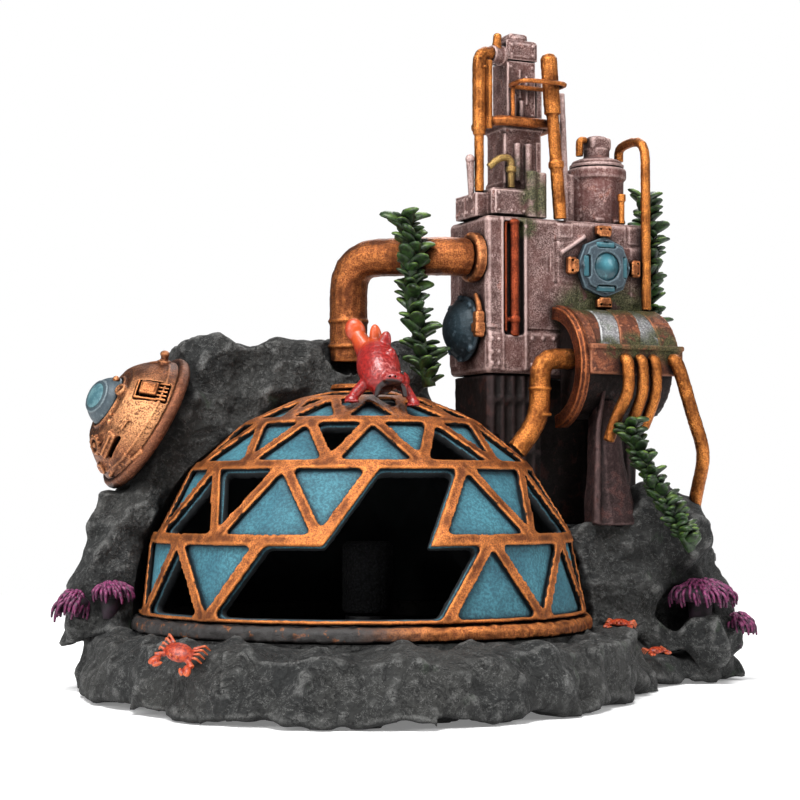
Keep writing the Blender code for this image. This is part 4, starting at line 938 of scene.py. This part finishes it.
# ---- Tank ----
# A round riveted tank with a collar and a stepped lid; a short vent, a long return pipe that
# arches down the front of the box, and a small drain.
TANK = TOWER @ Matrix.Translation((0.0472, 0.0134, 0))
tank = copy_of("tank_body", "tank_core")
carve(tank, box((-2.0, -9.6, 152.0), (-1.5, -7.0, 158.6), TANK),
      box((-1.6, -9.6, 151.6), (4.6, -7.0, 152.1), TANK),
      box((-5.6, -9.6, 154.4), (-1.8, -6.0, 154.9), TANK))
tank = gather("tank", tank, box((1.2, -9.2, 144.3), (5.4, -6.6, 145.6), TANK, 0.3),
              box((-5.2, -8.6, 144.3), (-2.0, -5.0, 146.0), TANK, 0.3))
cast(tank, 0.34, 1, 0.14)
tank_paint = metal_paint("tank_paint", ground=(0.165, 0.058, 0.050), rusty=0.54, brush=0.9)
place_piece(tank, tank_paint, "mauve_metal", "tank_body")
lid = gather("tank_lid_cast", copy_of("tank_lid", "lid_core"),
             box((-3.6, -3.4, 169.0), (4.0, 3.4, 173.2), TANK, 1.0),
             rod((0, 0, 163.2), (0, 0, 164.2), 8.9, place=TANK))
cast(lid, 0.3, 1, 0.14)
place_piece(lid, stack_paint, "mauve_metal", "tank_lid")
for name, slot in (("vent_pipe", "copper"), ("return_pipe", "copper"), ("drain_pipe", "red_copper")):
    pipe = copy_of("tank_" + name, name)
    cast(pipe, 0.26, 2, 0.15)
    place_piece(pipe, pipe_copper, slot, "tank_" + name)


# ---- Large pipes ----
# The thick pipe leaves the box through a flange and dives into the left crag; a thinner one runs
# from the drum down to the dome, and four curved exhausts hang from the fascia.
main_pipe = gather("thick_pipe", copy_of("main_pipe", "thick_pipe_core"),
                   ring((-16.2, 40.0, 112.0), 6.0, 0.55), ring((-16.2, 40.0, 104.0), 6.0, 0.7))
cast(main_pipe, 0.42, 5, 0.3, 1.8)
thick_copper = copper_paint("thick_copper", bright=(0.62, 0.215, 0.060), middle=(0.19, 0.053, 0.022),
                            worn=0.02)
place_piece(main_pipe, thick_copper, "copper", "main_pipe")
FLANGE = TOWER @ Matrix.Translation((0, 0.0065, 0.131)) @ Matrix.Rotation(math.radians(-90), 4, "Y")
heads = [(6.9 * math.cos(turn), 6.9 * math.sin(turn), 2.9) for turn in (0, 1.05, 2.09, 3.14, 4.19, 5.24)]
flange = gather("flange", copy_of("main_pipe_flange", "flange_core"), *rivets(0.7, heads, FLANGE))
cast(flange, 0.32, 1, 0.15)
place_piece(flange, clamp_copper, "copper", "main_pipe_flange")

feed = gather("feed_pipe", copy_of("dome_feed_pipe", "feed_core"),
              ring(in_tower(14.0, -8.0, 90.0), 3.25, 0.45), ring(in_tower(14.0, -8.0, 82.0), 3.2, 0.5))
cast(feed, 0.36, 3, 0.3, 1.6)
place_piece(feed, pipe_copper, "copper", "dome_feed_pipe")
for node in ("exhaust_pipe_1", "exhaust_pipe_2", "exhaust_pipe_3", "exhaust_pipe_long"):
    pipe = copy_of(node, node + "_cast")
    apply(pipe, "SUBSURF", levels=1)
    cast(pipe, 0.3, 3, 0.25, 1.4)
    place_piece(pipe, pipe_copper, "copper", node)


# ---- Pod ----
# A copper bathysphere half set in the crag: a flat flange, a domed shell with bolts, slots and a
# barred hatch, and a slate window with a teal pane at its tip.
POD_AXIS = Vector((-0.80, -0.35, 0.48)).normalized()
POD_FOOT = Vector((-78.4, 24.0, 80.0))               # the middle of the face that meets the crag
POD = Matrix.Translation(POD_FOOT * MM) @ POD_AXIS.to_track_quat("Z", "Y").to_matrix().to_4x4()
POD_BALL = POD_FOOT + POD_AXIS * -6.072


def on_pod(point, towards):
    """Frame on the shell at a point: Z outward, X towards another point."""
    point = Vector(point)
    up = (point - POD_BALL).normalized()
    side = Vector(towards) - point
    side = (side - up * side.dot(up)).normalized()
    turn = Matrix((side, up.cross(side), up)).transposed().to_4x4()
    return Matrix.Translation(point * MM) @ turn


shell = ball(POD_BALL, (21.37, 21.37, 21.37), segments=96)
shell.name = "pod_core"
carve(shell, box((-30, -30, -30), (30, 30, 0.3), POD), box((-30, -30, 11.4), (30, 30, 30), POD))
HATCH = on_pod((-73.7, 8.7, 88.3), (-67.0, 8.0, 87.2))
carve(shell, box((-5.2, -3.5, -1.6), (5.0, 3.6, 3.0), HATCH, 0.4),
      rod((-85, 14, 91), (-80.5, 14.2, 92.4), 0.4, sides=8))
BAR = on_pod((-86.2, 10.2, 72.2), (-84.1, 7.6, 75.8))
RAIL = on_pod((-83.2, 12.0, 66.8), (-78.8, 6.2, 71.3))
RING_BOLT = on_pod((-83.4, 11.4, 88.9), (-70, 8, 88))
SLOT = on_pod((-81.6, 6.4, 78.5), (-79.5, 6.0, 81.2))
GEAR = on_pod((-91.0, 14.7, 72.6), (-84, 7, 75))
SMALL_GEAR = on_pod((-89.7, 18.0, 65.7), (-84, 7, 75))
LOW_STUB = on_pod((-77.6, 6.6, 69.4), (-70, 5, 76))
KNOB = on_pod((-71.6, 20.6, 97.2), (-80, 20, 97))
carve(shell, box((-3.4, -2.0, -2.0), (4.8, -1.0, 3.0), BAR))
trim = [shell, ring((0, 0, 0.4), 1.35, 0.55, place=RING_BOLT),
        rod((0, 0, -1), (0, 0, 0.5), 2.0, place=RING_BOLT),
        ball((-85.6, 16.8, 92.3), (1.2, 1.2, 1.2)), ball((-86.4, 9.2, 79.4), (0.9, 0.9, 0.9)),
        ball((-86.0, 8.6, 81.6), (0.7, 0.7, 0.7)),
        box((-1.9, -0.8, -0.5), (1.9, -0.3, 0.9), SLOT, 0.1),
        box((-1.9, 0.3, -0.5), (1.9, 0.8, 0.9), SLOT, 0.1),
        box((-4.6, -0.9, -0.6), (4.6, 2.4, 1.2), BAR, 0.4),
        box((-4.0, 0.2, 0.4), (3.8, 1.2, 1.9), BAR, 0.3),
        rod((-6.6, 0.4, 0.6), (6.0, 0.4, 0.8), 0.85, place=RAIL),
        rod((2.6, -1.6, 0.4), (6.2, -1.6, 0.4), 1.2, place=RAIL),
        rod((-1.8, 0, 0.5), (1.8, 0, 0.7), 0.9, place=LOW_STUB),
        ball((1.8, 0, 0.7), (1.1, 1.1, 1.1), LOW_STUB),
        ring((0, 0, 0.5), 2.3, 0.6, place=GEAR), ball((0, 0, 0.5), (1.0, 1.0, 0.9), GEAR),
        ring((0, 0, 0.5), 1.5, 0.5, place=SMALL_GEAR), ball((0, 0, 0.4), (0.8, 0.8, 0.7), SMALL_GEAR),
        rod((0, 0, -1.0), (0, 0, 1.2), 2.2, 1.9, KNOB),
        rod((0, 0, 1.0), (0, 0, 3.0), 1.3, place=KNOB, sides=6), ball((0, 0, 3.2), (1.5, 1.5, 1.1), KNOB),
        rod((1.4, 0, 0.4), (4.4, 0, -0.2), 0.7, place=KNOB), ring((0, 0, 11.9), 8.5, 0.55, place=POD),
        ring((0, 0, 3.0), 19.2, 0.5, place=POD)]
for angle in range(0, 360, 30):
    turn = GEAR @ Matrix.Rotation(math.radians(angle), 4, "Z")
    trim.append(box((2.5, -0.35, 0), (3.3, 0.35, 0.9), turn))
trim += rivets(0.5, [(10.4 * math.cos(t / 3.5), 10.4 * math.sin(t / 3.5), 11.3) for t in range(22)], POD)
pod = gather("pod", *trim)
cast(pod, 0.34, 1, 0.14)
pod_paint = copper_paint("pod_copper", bright=(0.72, 0.30, 0.13), middle=(0.15, 0.052, 0.030), worn=0.03)
sheen = pod_paint.distance((-77.0, 6.0, 82.5)).between(15.0, 3.0)
pod_colour = pod_paint.shader.inputs["Base Color"].links[0].from_socket
pod_colour = pod_paint.mix(sheen * pod_paint.noise(0.5, 2.0).between(0.35, 0.6) * 0.8
                           * pod_paint.open_air(2.0).between(0.5, 1.0), pod_colour, (0.88, 0.44, 0.20))
pod_paint.set(base_color=pod_colour)
place_piece(pod, pod_paint, "copper", "pod_shell")

hatch = [box((-3.6, -1.9, -1.6), (1.7, 2.5, 1.7), HATCH, 0.4),
         box((-2.9, -1.1, 1.0), (1.0, 1.7, 2.1), HATCH, 0.3),
         box((-4.9, -3.3, -1.6), (-4.3, 3.4, 0.7), HATCH, 0.1),
         box((-4.9, -3.3, -1.6), (2.0, -2.7, 0.7), HATCH, 0.1)]
for step in range(5):
    hatch.append(box((1.9, -3.1 + 1.38 * step, -1.6), (4.9, -2.45 + 1.38 * step, 0.8), HATCH, 0.1))
hatch = gather("pod_hatch_bars", *hatch)
cast(hatch, 0.22, 1, 0.12)
place_piece(hatch, clamp_copper, "copper", "pod_hatch")

rim = gather("pod_flange", rod((0, 0, -3), (0, 0, 0.5), 21.2, place=POD, sides=96),
             ring((0, 0, -1.2), 21.2, 1.3, place=POD, flat=1.4))
cast(rim, 0.42, 3, 0.25)
rim_copper = copper_paint("rim_copper", bright=(0.40, 0.16, 0.08), middle=(0.13, 0.050, 0.032), worn=0.06)
place_piece(rim, rim_copper, "red_copper", "pod_rim")
LENS = Vector((-86.7, 20.4, 85.0))
PANE = Vector((-0.70, -0.62, 0.34)).normalized()
window_core = copy_of("pod_lens", "pod_window")
apply(window_core, "SUBSURF", levels=1)
window = gather("pod_window", window_core, ring(LENS + PANE * 6.6, 4.9, 0.4, PANE))
cast(window, 0.3, 2, 0.08)
window_paint = slate_paint_for("pod_window_paint", (0.045, 0.068, 0.085), (0.17, 0.22, 0.24))
pane_mask = window_paint.distance(LENS + PANE * 8.2).between(4.5, 4.1)
pane_line = window_paint.distance(LENS + PANE * 8.2).between(3.9, 4.2) * pane_mask
window_base = window_paint.shader.inputs["Base Color"].links[0].from_socket
pane_teal = window_paint.mix(window_paint.noise(2.0, 3.0).between(0.35, 0.65), (0.055, 0.14, 0.17),
                             (0.13, 0.26, 0.29))
window_base = window_paint.mix(pane_mask, window_base, pane_teal)
window_paint.set(base_color=window_paint.mix(pane_line, window_base, (0.012, 0.018, 0.022)),
                 roughness=0.5 - pane_mask * 0.15)
place_piece(window, window_paint, "slate", "pod_lens")


# ---- Handfish ----
# A small red fish that props itself on two hands over the dome's crown, with a fat tail, three
# fleshy fins along its back and a broad frowning mouth; glossy red lacquer, rubbed orange on top.
fish = [ball((-6.2, -8.6, 94.4), (6.3, 6.1, 10.4), turn=(-48, 0, 12)),
        rod((-9.5, -3.0, 99.0), (-12.6, -0.5, 104.5), 3.4, 2.2),
        ball((-13.1, -0.8, 105.6), (3.0, 1.8, 3.7), turn=(0, -22, 0)),
        ball((-7.0, -3.6, 103.0), (1.9, 1.4, 4.3), turn=(0, -6, 0)),
        ball((-4.5, -7.2, 101.4), (1.9, 1.3, 3.6), turn=(0, 12, 0)),
        ball((-2.8, -12.0, 97.4), (1.7, 1.2, 2.4), turn=(0, 8, 0)),
        ball((-2.2, -15.6, 90.6), (3.7, 3.2, 2.2), turn=(0, 4, 0)),
        ball((-7.0, -13.2, 90.2), (2.9, 3.0, 3.0)), ball((0.4, -12.6, 90.0), (2.4, 3.0, 2.9)),
        rod((-5.6, -15.8, 89.2), (-7.0, -15.2, 85.6), 1.1, 0.8),
        rod((1.0, -15.4, 89.0), (1.5, -14.8, 85.4), 1.1, 0.8),
        rod((-9.5, -11.5, 90.0), (-13.6, -13.0, 85.6), 1.9, 1.4),
        ball((-13.8, -13.4, 84.9), (2.0, 1.7, 1.3)),
        rod((0.5, -11.0, 89.5), (3.7, -12.6, 84.6), 1.7, 1.3), ball((3.9, -12.8, 84.0), (1.8, 1.5, 1.2))]
for finger in range(4):
    fish += [ball((-15.4 + 1.05 * finger, -15.0, 84.2), (0.50, 1.1, 0.55)),
             ball((2.4 + 0.95 * finger, -14.3, 83.2), (0.45, 1.0, 0.5))]
fish = gather("fish", *fish)
cast(fish, 0.28, 3, 0.1)
carve(fish, ball((-2.6, -18.4, 86.0), (3.7, 5.6, 2.9)), ball((-2.9, -18.7, 91.0), (0.35, 0.8, 0.35)),
      ball((-1.3, -18.7, 91.0), (0.35, 0.8, 0.35)))
fish_paint = Paint("fish_paint", roughness=0.34, coat=0.25)
scaly = fish_paint.noise(0.8, 3.0, 0.65)
red = fish_paint.mix(scaly.between(0.4, 0.65), (0.20, 0.006, 0.006), (0.40, 0.018, 0.014))
orange_fins = fish_paint.distance((-9.5, -2.5, 106.0)).between(9.0, 3.5)
red = fish_paint.mix(orange_fins * fish_paint.facing("Y").between(0.5, -0.6), red, (0.56, 0.075, 0.010))
# A pale pink patch on the front of the head: painted highlight.
snout_highlight = fish_paint.distance((-4.0, -15.5, 93.0)).between(4.5, 1.5) * scaly.between(0.45, 0.6)
red = fish_paint.mix(snout_highlight * 0.5, red, (0.60, 0.22, 0.20))
# The mouth cavity painted nearly black: painted shade under the snout.
mouth = fish_paint.distance((-2.6, -17.6, 85.2)).between(5.6, 5.0)
red = fish_paint.mix(mouth, red, (0.012, 0.002, 0.002))
# Hollows darkened nearly to black: painted shade.
red = fish_paint.mix(fish_paint.open_air(4.0).between(0.3, 0.92), (0.015, 0.001, 0.001), red)
fish_paint.set(base_color=red, normal=fish_paint.bump(scaly, 0.25, 0.8))
place_piece(fish, fish_paint, "red_skin", "handfish")
eyes = gather("fish_eyes", ball((-6.6, -15.4, 92.8), (0.7, 0.7, 0.7)),
              ball((0.6, -15.0, 92.3), (0.6, 0.6, 0.6)))
bpy.ops.object.shade_smooth()
eye_paint = Paint("eye_paint", roughness=0.1, coat=0.8)
eye_paint.set(base_color=eye_paint.mix(eye_paint.noise(0.6).between(0.4, 0.6), (0.004, 0.003, 0.003),
                                       (0.012, 0.008, 0.006)))
place_piece(eyes, eye_paint, "red_skin")


# ---- Crabs ----
# Three small crabs cast on the rock, each an oval shell with a pair of curved claws and four legs
# a side, brushed orange-red, with painted shade, nearly black, in their crevices and underneath.
crab_paint = Paint("crab_paint", roughness=0.4)
mottle = crab_paint.noise(0.7, 3.0, 0.7)
shell_red = crab_paint.mix(mottle.between(0.42, 0.6), (0.20, 0.012, 0.006), (0.50, 0.055, 0.011))
shell_red = crab_paint.mix(crab_paint.ridges(0.50, 0.56) * 0.6, shell_red, (0.72, 0.17, 0.05))
# Crevices and undersides darkened nearly to black: painted shade.
shell_red = crab_paint.mix(crab_paint.open_air(2.0).between(0.3, 0.9), (0.03, 0.004, 0.003), shell_red)
crab_paint.set(base_color=shell_red, normal=crab_paint.bump(mottle, 0.2, 0.7))
for node, place, width, heading in (("crab_front", (-56, -71.5, 16.0), 10.8, -24),
                                    ("crab_middle", (65, 9, 18.3), 8.0, -15),
                                    ("crab_right", (77, 19.5, 9.8), 6.5, 20)):
    half = width / 2
    tilt = 42 if node == "crab_front" else 12
    spot = Matrix.Translation(Vector(place) * MM) @ Matrix.Rotation(math.radians(tilt), 4, "X")
    spot = spot @ Matrix.Rotation(math.radians(heading), 4, "Z")
    parts = [ball((0, 0, half * 0.36), (half * 0.72, half * 0.55, half * 0.30), spot)]
    for side in (-1, 1):
        parts += [rod((side * half * 0.5, -half * 0.2, half * 0.3),
                      (side * half, -half * 0.55, half * 0.3), half * 0.14, half * 0.12, spot),
                  ball((side * half * 0.86, -half * 0.82, half * 0.28),
                       (half * 0.20, half * 0.34, half * 0.17), spot, (0, 0, side * 28)),
                  ball((side * half * 0.62, -half * 0.98, half * 0.26),
                       (half * 0.10, half * 0.26, half * 0.10), spot, (0, 0, side * 40)),
                  ball((side * half * 0.16, -half * 0.50, half * 0.60),
                       (half * 0.07, half * 0.07, half * 0.12), spot)]
        for leg_turn in (-0.18, 0.12, 0.42, 0.70):
            knee = (side * half * 0.95, half * (leg_turn + 0.1), half * 0.42)
            parts += [rod((side * half * 0.5, half * leg_turn * 0.7, half * 0.3), knee, half * 0.09,
                          half * 0.07, spot, 8),
                      rod(knee, (side * half * 1.15, half * (leg_turn + 0.25), 0.1), half * 0.07,
                          half * 0.04, spot, 8)]
    crab = gather(node + "_cast", *parts)
    cast(crab, 0.04 * half, 1, 0.05, 0.8)
    place_piece(crab, crab_paint, "orange_shell", node)


# ---- Anemones ----
# Purple anemones cast as a bunch of drooping strands over a stalk painted nearly black as painted shade,
# with painted highlights on the strands' upward faces; a large and a small one on the right shelf and a pair
# on the left ledge.
def strands(name, lines):
    """Soft tapering cords; each line is a list of points and a list of radii, in millimetres."""
    curve = bpy.data.curves.new(name, "CURVE")
    curve.dimensions = "3D"
    curve.bevel_depth = MM
    curve.bevel_resolution = 1
    curve.resolution_u = 4
    curve.use_fill_caps = True
    for points, radii in lines:
        cord = curve.splines.new("NURBS")
        cord.points.add(len(points) - 1)
        cord.order_u = 3
        cord.use_endpoint_u = True
        for knot, point, radius in zip(cord.points, points, radii):
            knot.co = (*(Vector(point) * MM), 1.0)
            knot.radius = radius
    piece = bpy.data.objects.new(name, curve)
    bpy.context.collection.objects.link(piece)
    choose(piece)
    bpy.ops.object.convert(target="MESH")
    piece = bpy.context.object
    bpy.ops.object.mode_set(mode="EDIT")
    bpy.ops.mesh.select_all(action="SELECT")
    bpy.ops.mesh.remove_doubles(threshold=0.000001)
    bpy.ops.mesh.normals_make_consistent(inside=False)
    bpy.ops.object.mode_set(mode="OBJECT")
    bpy.ops.object.shade_smooth()
    return piece


purple = Paint("anemone_paint", roughness=0.5)
fleshy = purple.noise(1.1, 3.0, 0.65)
violet = purple.mix(fleshy.between(0.4, 0.62), (0.040, 0.005, 0.026), (0.17, 0.018, 0.085))
# Strands lighter where they face up: painted highlight.
violet = purple.mix(purple.facing("Z").between(0.1, 0.9) * fleshy.between(0.35, 0.6) * 0.55, violet,
                    (0.42, 0.085, 0.24))
# Darkened nearly to black between the strands: painted shade.
violet = purple.mix(purple.open_air(3.0).between(0.3, 0.9), (0.008, 0.001, 0.008), violet)
purple.set(base_color=violet, normal=purple.bump(fleshy, 0.2, 0.7))
chance = random.Random(7)
GOLDEN_ANGLE = 2.39996                               # radians between one shoot and the next


def anemone_strands(centre, top, radius, height, count, comb):
    """Cords that rise from the middle of the crown, droop over its edge and are combed aside."""
    lines = []
    heart = Vector((*centre, 0))
    for index in range(count):
        angle = index * GOLDEN_ANGLE + chance.uniform(-0.2, 0.2)
        share = math.sqrt((index + 0.5) / count)
        reach = radius * (0.25 + 0.75 * share) * chance.uniform(0.85, 1.08)
        crest = top - height * 0.45 * share * share + chance.uniform(-0.3, 0.3)
        foot = crest - height * chance.uniform(0.35, 0.75)
        out = Vector((math.cos(angle), math.sin(angle), 0))
        side = Vector((*comb, 0)) * height * chance.uniform(0.1, 0.5)
        lines.append(([heart + out * reach * 0.3 + Vector((0, 0, crest - height * 0.35)),
                       heart + out * reach * 0.55 + Vector((0, 0, crest)),
                       heart + out * reach * 0.85 + side * 0.5 + Vector((0, 0, crest - height * 0.04)),
                       heart + out * reach + side + Vector((0, 0, (crest + foot) / 2)),
                       heart + out * reach * 0.96 + side * 1.2 + Vector((0, 0, foot))],
                      [0.55, 0.62, 0.62, 0.55, 0.30]))
    return lines


# The stalks painted nearly black: painted shade under the crowns.
stalk_shade_paint = Paint("anemone_stalk_shade_paint", roughness=0.7)
stalk_shade_paint.set(base_color=stalk_shade_paint.mix(stalk_shade_paint.noise(2.0).between(0.4, 0.6), (0.006, 0.003, 0.005),
                                           (0.020, 0.006, 0.016)))
for node, centre, foot, top, radius, height, count in (
        ("anemone_right", (92.6, 33.6), 9.8, 31.5, 10.4, 7.6, 190),
        ("anemone_right_small", (105.5, 41.0), 9.8, 21.0, 4.8, 6.4, 90)):
    stalk = gather(node + "_stalk",
                   rod((*centre, foot), (*centre, top - height * 0.5), radius * 0.24, radius * 0.4),
                   ball((*centre, top - height * 0.55), (radius * 0.8, radius * 0.8, height * 0.42)))
    bpy.ops.object.shade_smooth()
    place_piece(stalk, stalk_shade_paint, "magenta")
    bunch = strands(node + "_strands", anemone_strands(centre, top, radius, height, count, (0.5, -0.2)))
    place_piece(bunch, purple, "magenta", node)
left_lines = anemone_strands((-84.6, 2.0), 32.0, 6.4, 5.0, 100, (0.6, -0.2))
left_lines += anemone_strands((-95.0, 2.4), 29.6, 5.2, 7.6, 90, (-0.6, -0.2))
place_piece(strands("anemone_left_strands", left_lines), purple, "magenta", "anemone_left")
left_root = gather("anemone_left_root", rod((-84.6, 2, 21.5), (-84.6, 2, 29), 2.2, 3.4),
                   rod((-95, 2.4, 21.5), (-95, 2.4, 26), 2.0, 3.0),
                   ball((-84.6, 2, 29), (4.8, 4.8, 2.2)), ball((-95, 2.4, 26), (4.0, 4.0, 2.4)))
bpy.ops.object.shade_smooth()
place_piece(left_root, stalk_shade_paint, "magenta")


# ---- Plants ----
# Dense leafy stems painted dark green, lighter on their upward faces as painted highlight: one up the tower's
# left side, one behind its right edge and one that spills over the right crag.
leaf_paint = Paint("leaf_paint", roughness=0.45)
mottled = leaf_paint.noise(1.6, 3.0, 0.65)
green = leaf_paint.mix(mottled.between(0.4, 0.62), (0.008, 0.020, 0.006), (0.030, 0.075, 0.014))
lit_leaf = leaf_paint.noise(5.0, 2.0).between(0.45, 0.62) * leaf_paint.facing("Z").between(-0.2, 0.8)
green = leaf_paint.mix(lit_leaf * 0.8, green, (0.13, 0.22, 0.028))
# Darkened nearly to black between the leaves: painted shade.
green = leaf_paint.mix(leaf_paint.open_air(3.0).between(0.25, 0.9), (0.003, 0.006, 0.003), green)
leaf_paint.set(base_color=green, normal=leaf_paint.bump(mottled, 0.3, 0.7))


def leaf_model(length, width):
    """One thick leaf, its root at the origin, its blunt tip up along +Z and hooked over."""
    leaf = ball((0, 0, length / 2), (1.0, width / 2, length / 2), segments=14)
    apply(leaf, "SIMPLE_DEFORM", deform_method="BEND", deform_axis="Y", angle=math.radians(64))
    return leaf


def leafy_stem(name, route, radius, count, length, width):
    """A stem with whorls of leaves that lean out and up."""
    stem = strands(name + "_stem", [(route, [radius * 0.36] * len(route))])
    points = [Vector(point) for point in route]
    places = []
    for index in range(count):
        along = (index + 0.5) / count * (len(points) - 1)
        low = min(int(along), len(points) - 2)
        spot = points[low].lerp(points[low + 1], along - low)
        turn = index * GOLDEN_ANGLE + chance.uniform(-0.3, 0.3)
        lean = math.radians(chance.uniform(14, 46))
        scale = chance.uniform(0.7, 1.15)
        twist = chance.uniform(-0.9, 0.9)
        whorl = Matrix.Rotation(turn, 4, "Z") @ Matrix.Rotation(lean, 4, "Y") @ Matrix.Rotation(twist, 4, "Z")
        places.append(Matrix.Translation(spot * MM) @ whorl @ Matrix.Scale(scale, 4))
    plant = gather(name + "_cast", stem, *repeated(leaf_model(length, width), *places))
    bpy.ops.object.shade_smooth()
    place_piece(plant, leaf_paint, "leaf", name)


leafy_stem("pipe_vine", [(9.0, 22.5, 90.5), (6.5, 22.8, 103), (3.0, 22.0, 118), (3.6, 20.5, 131),
                         (1.5, 21.5, 141)], 6.0, 92, 8.4, 4.4)
leafy_stem("tower_vine", [(80.6, 56.6, 111), (79.8, 57.4, 124), (80.8, 56.6, 138), (79.6, 57.6, 152)], 5.0,
           74, 8.4, 4.4)
leafy_stem("ledge_plant", [(68.6, 16.4, 78), (72.5, 16.4, 67), (79.0, 17.2, 55), (84.0, 18.4, 47),
                           (88.0, 20.0, 41)], 4.6, 96, 6.8, 3.8)
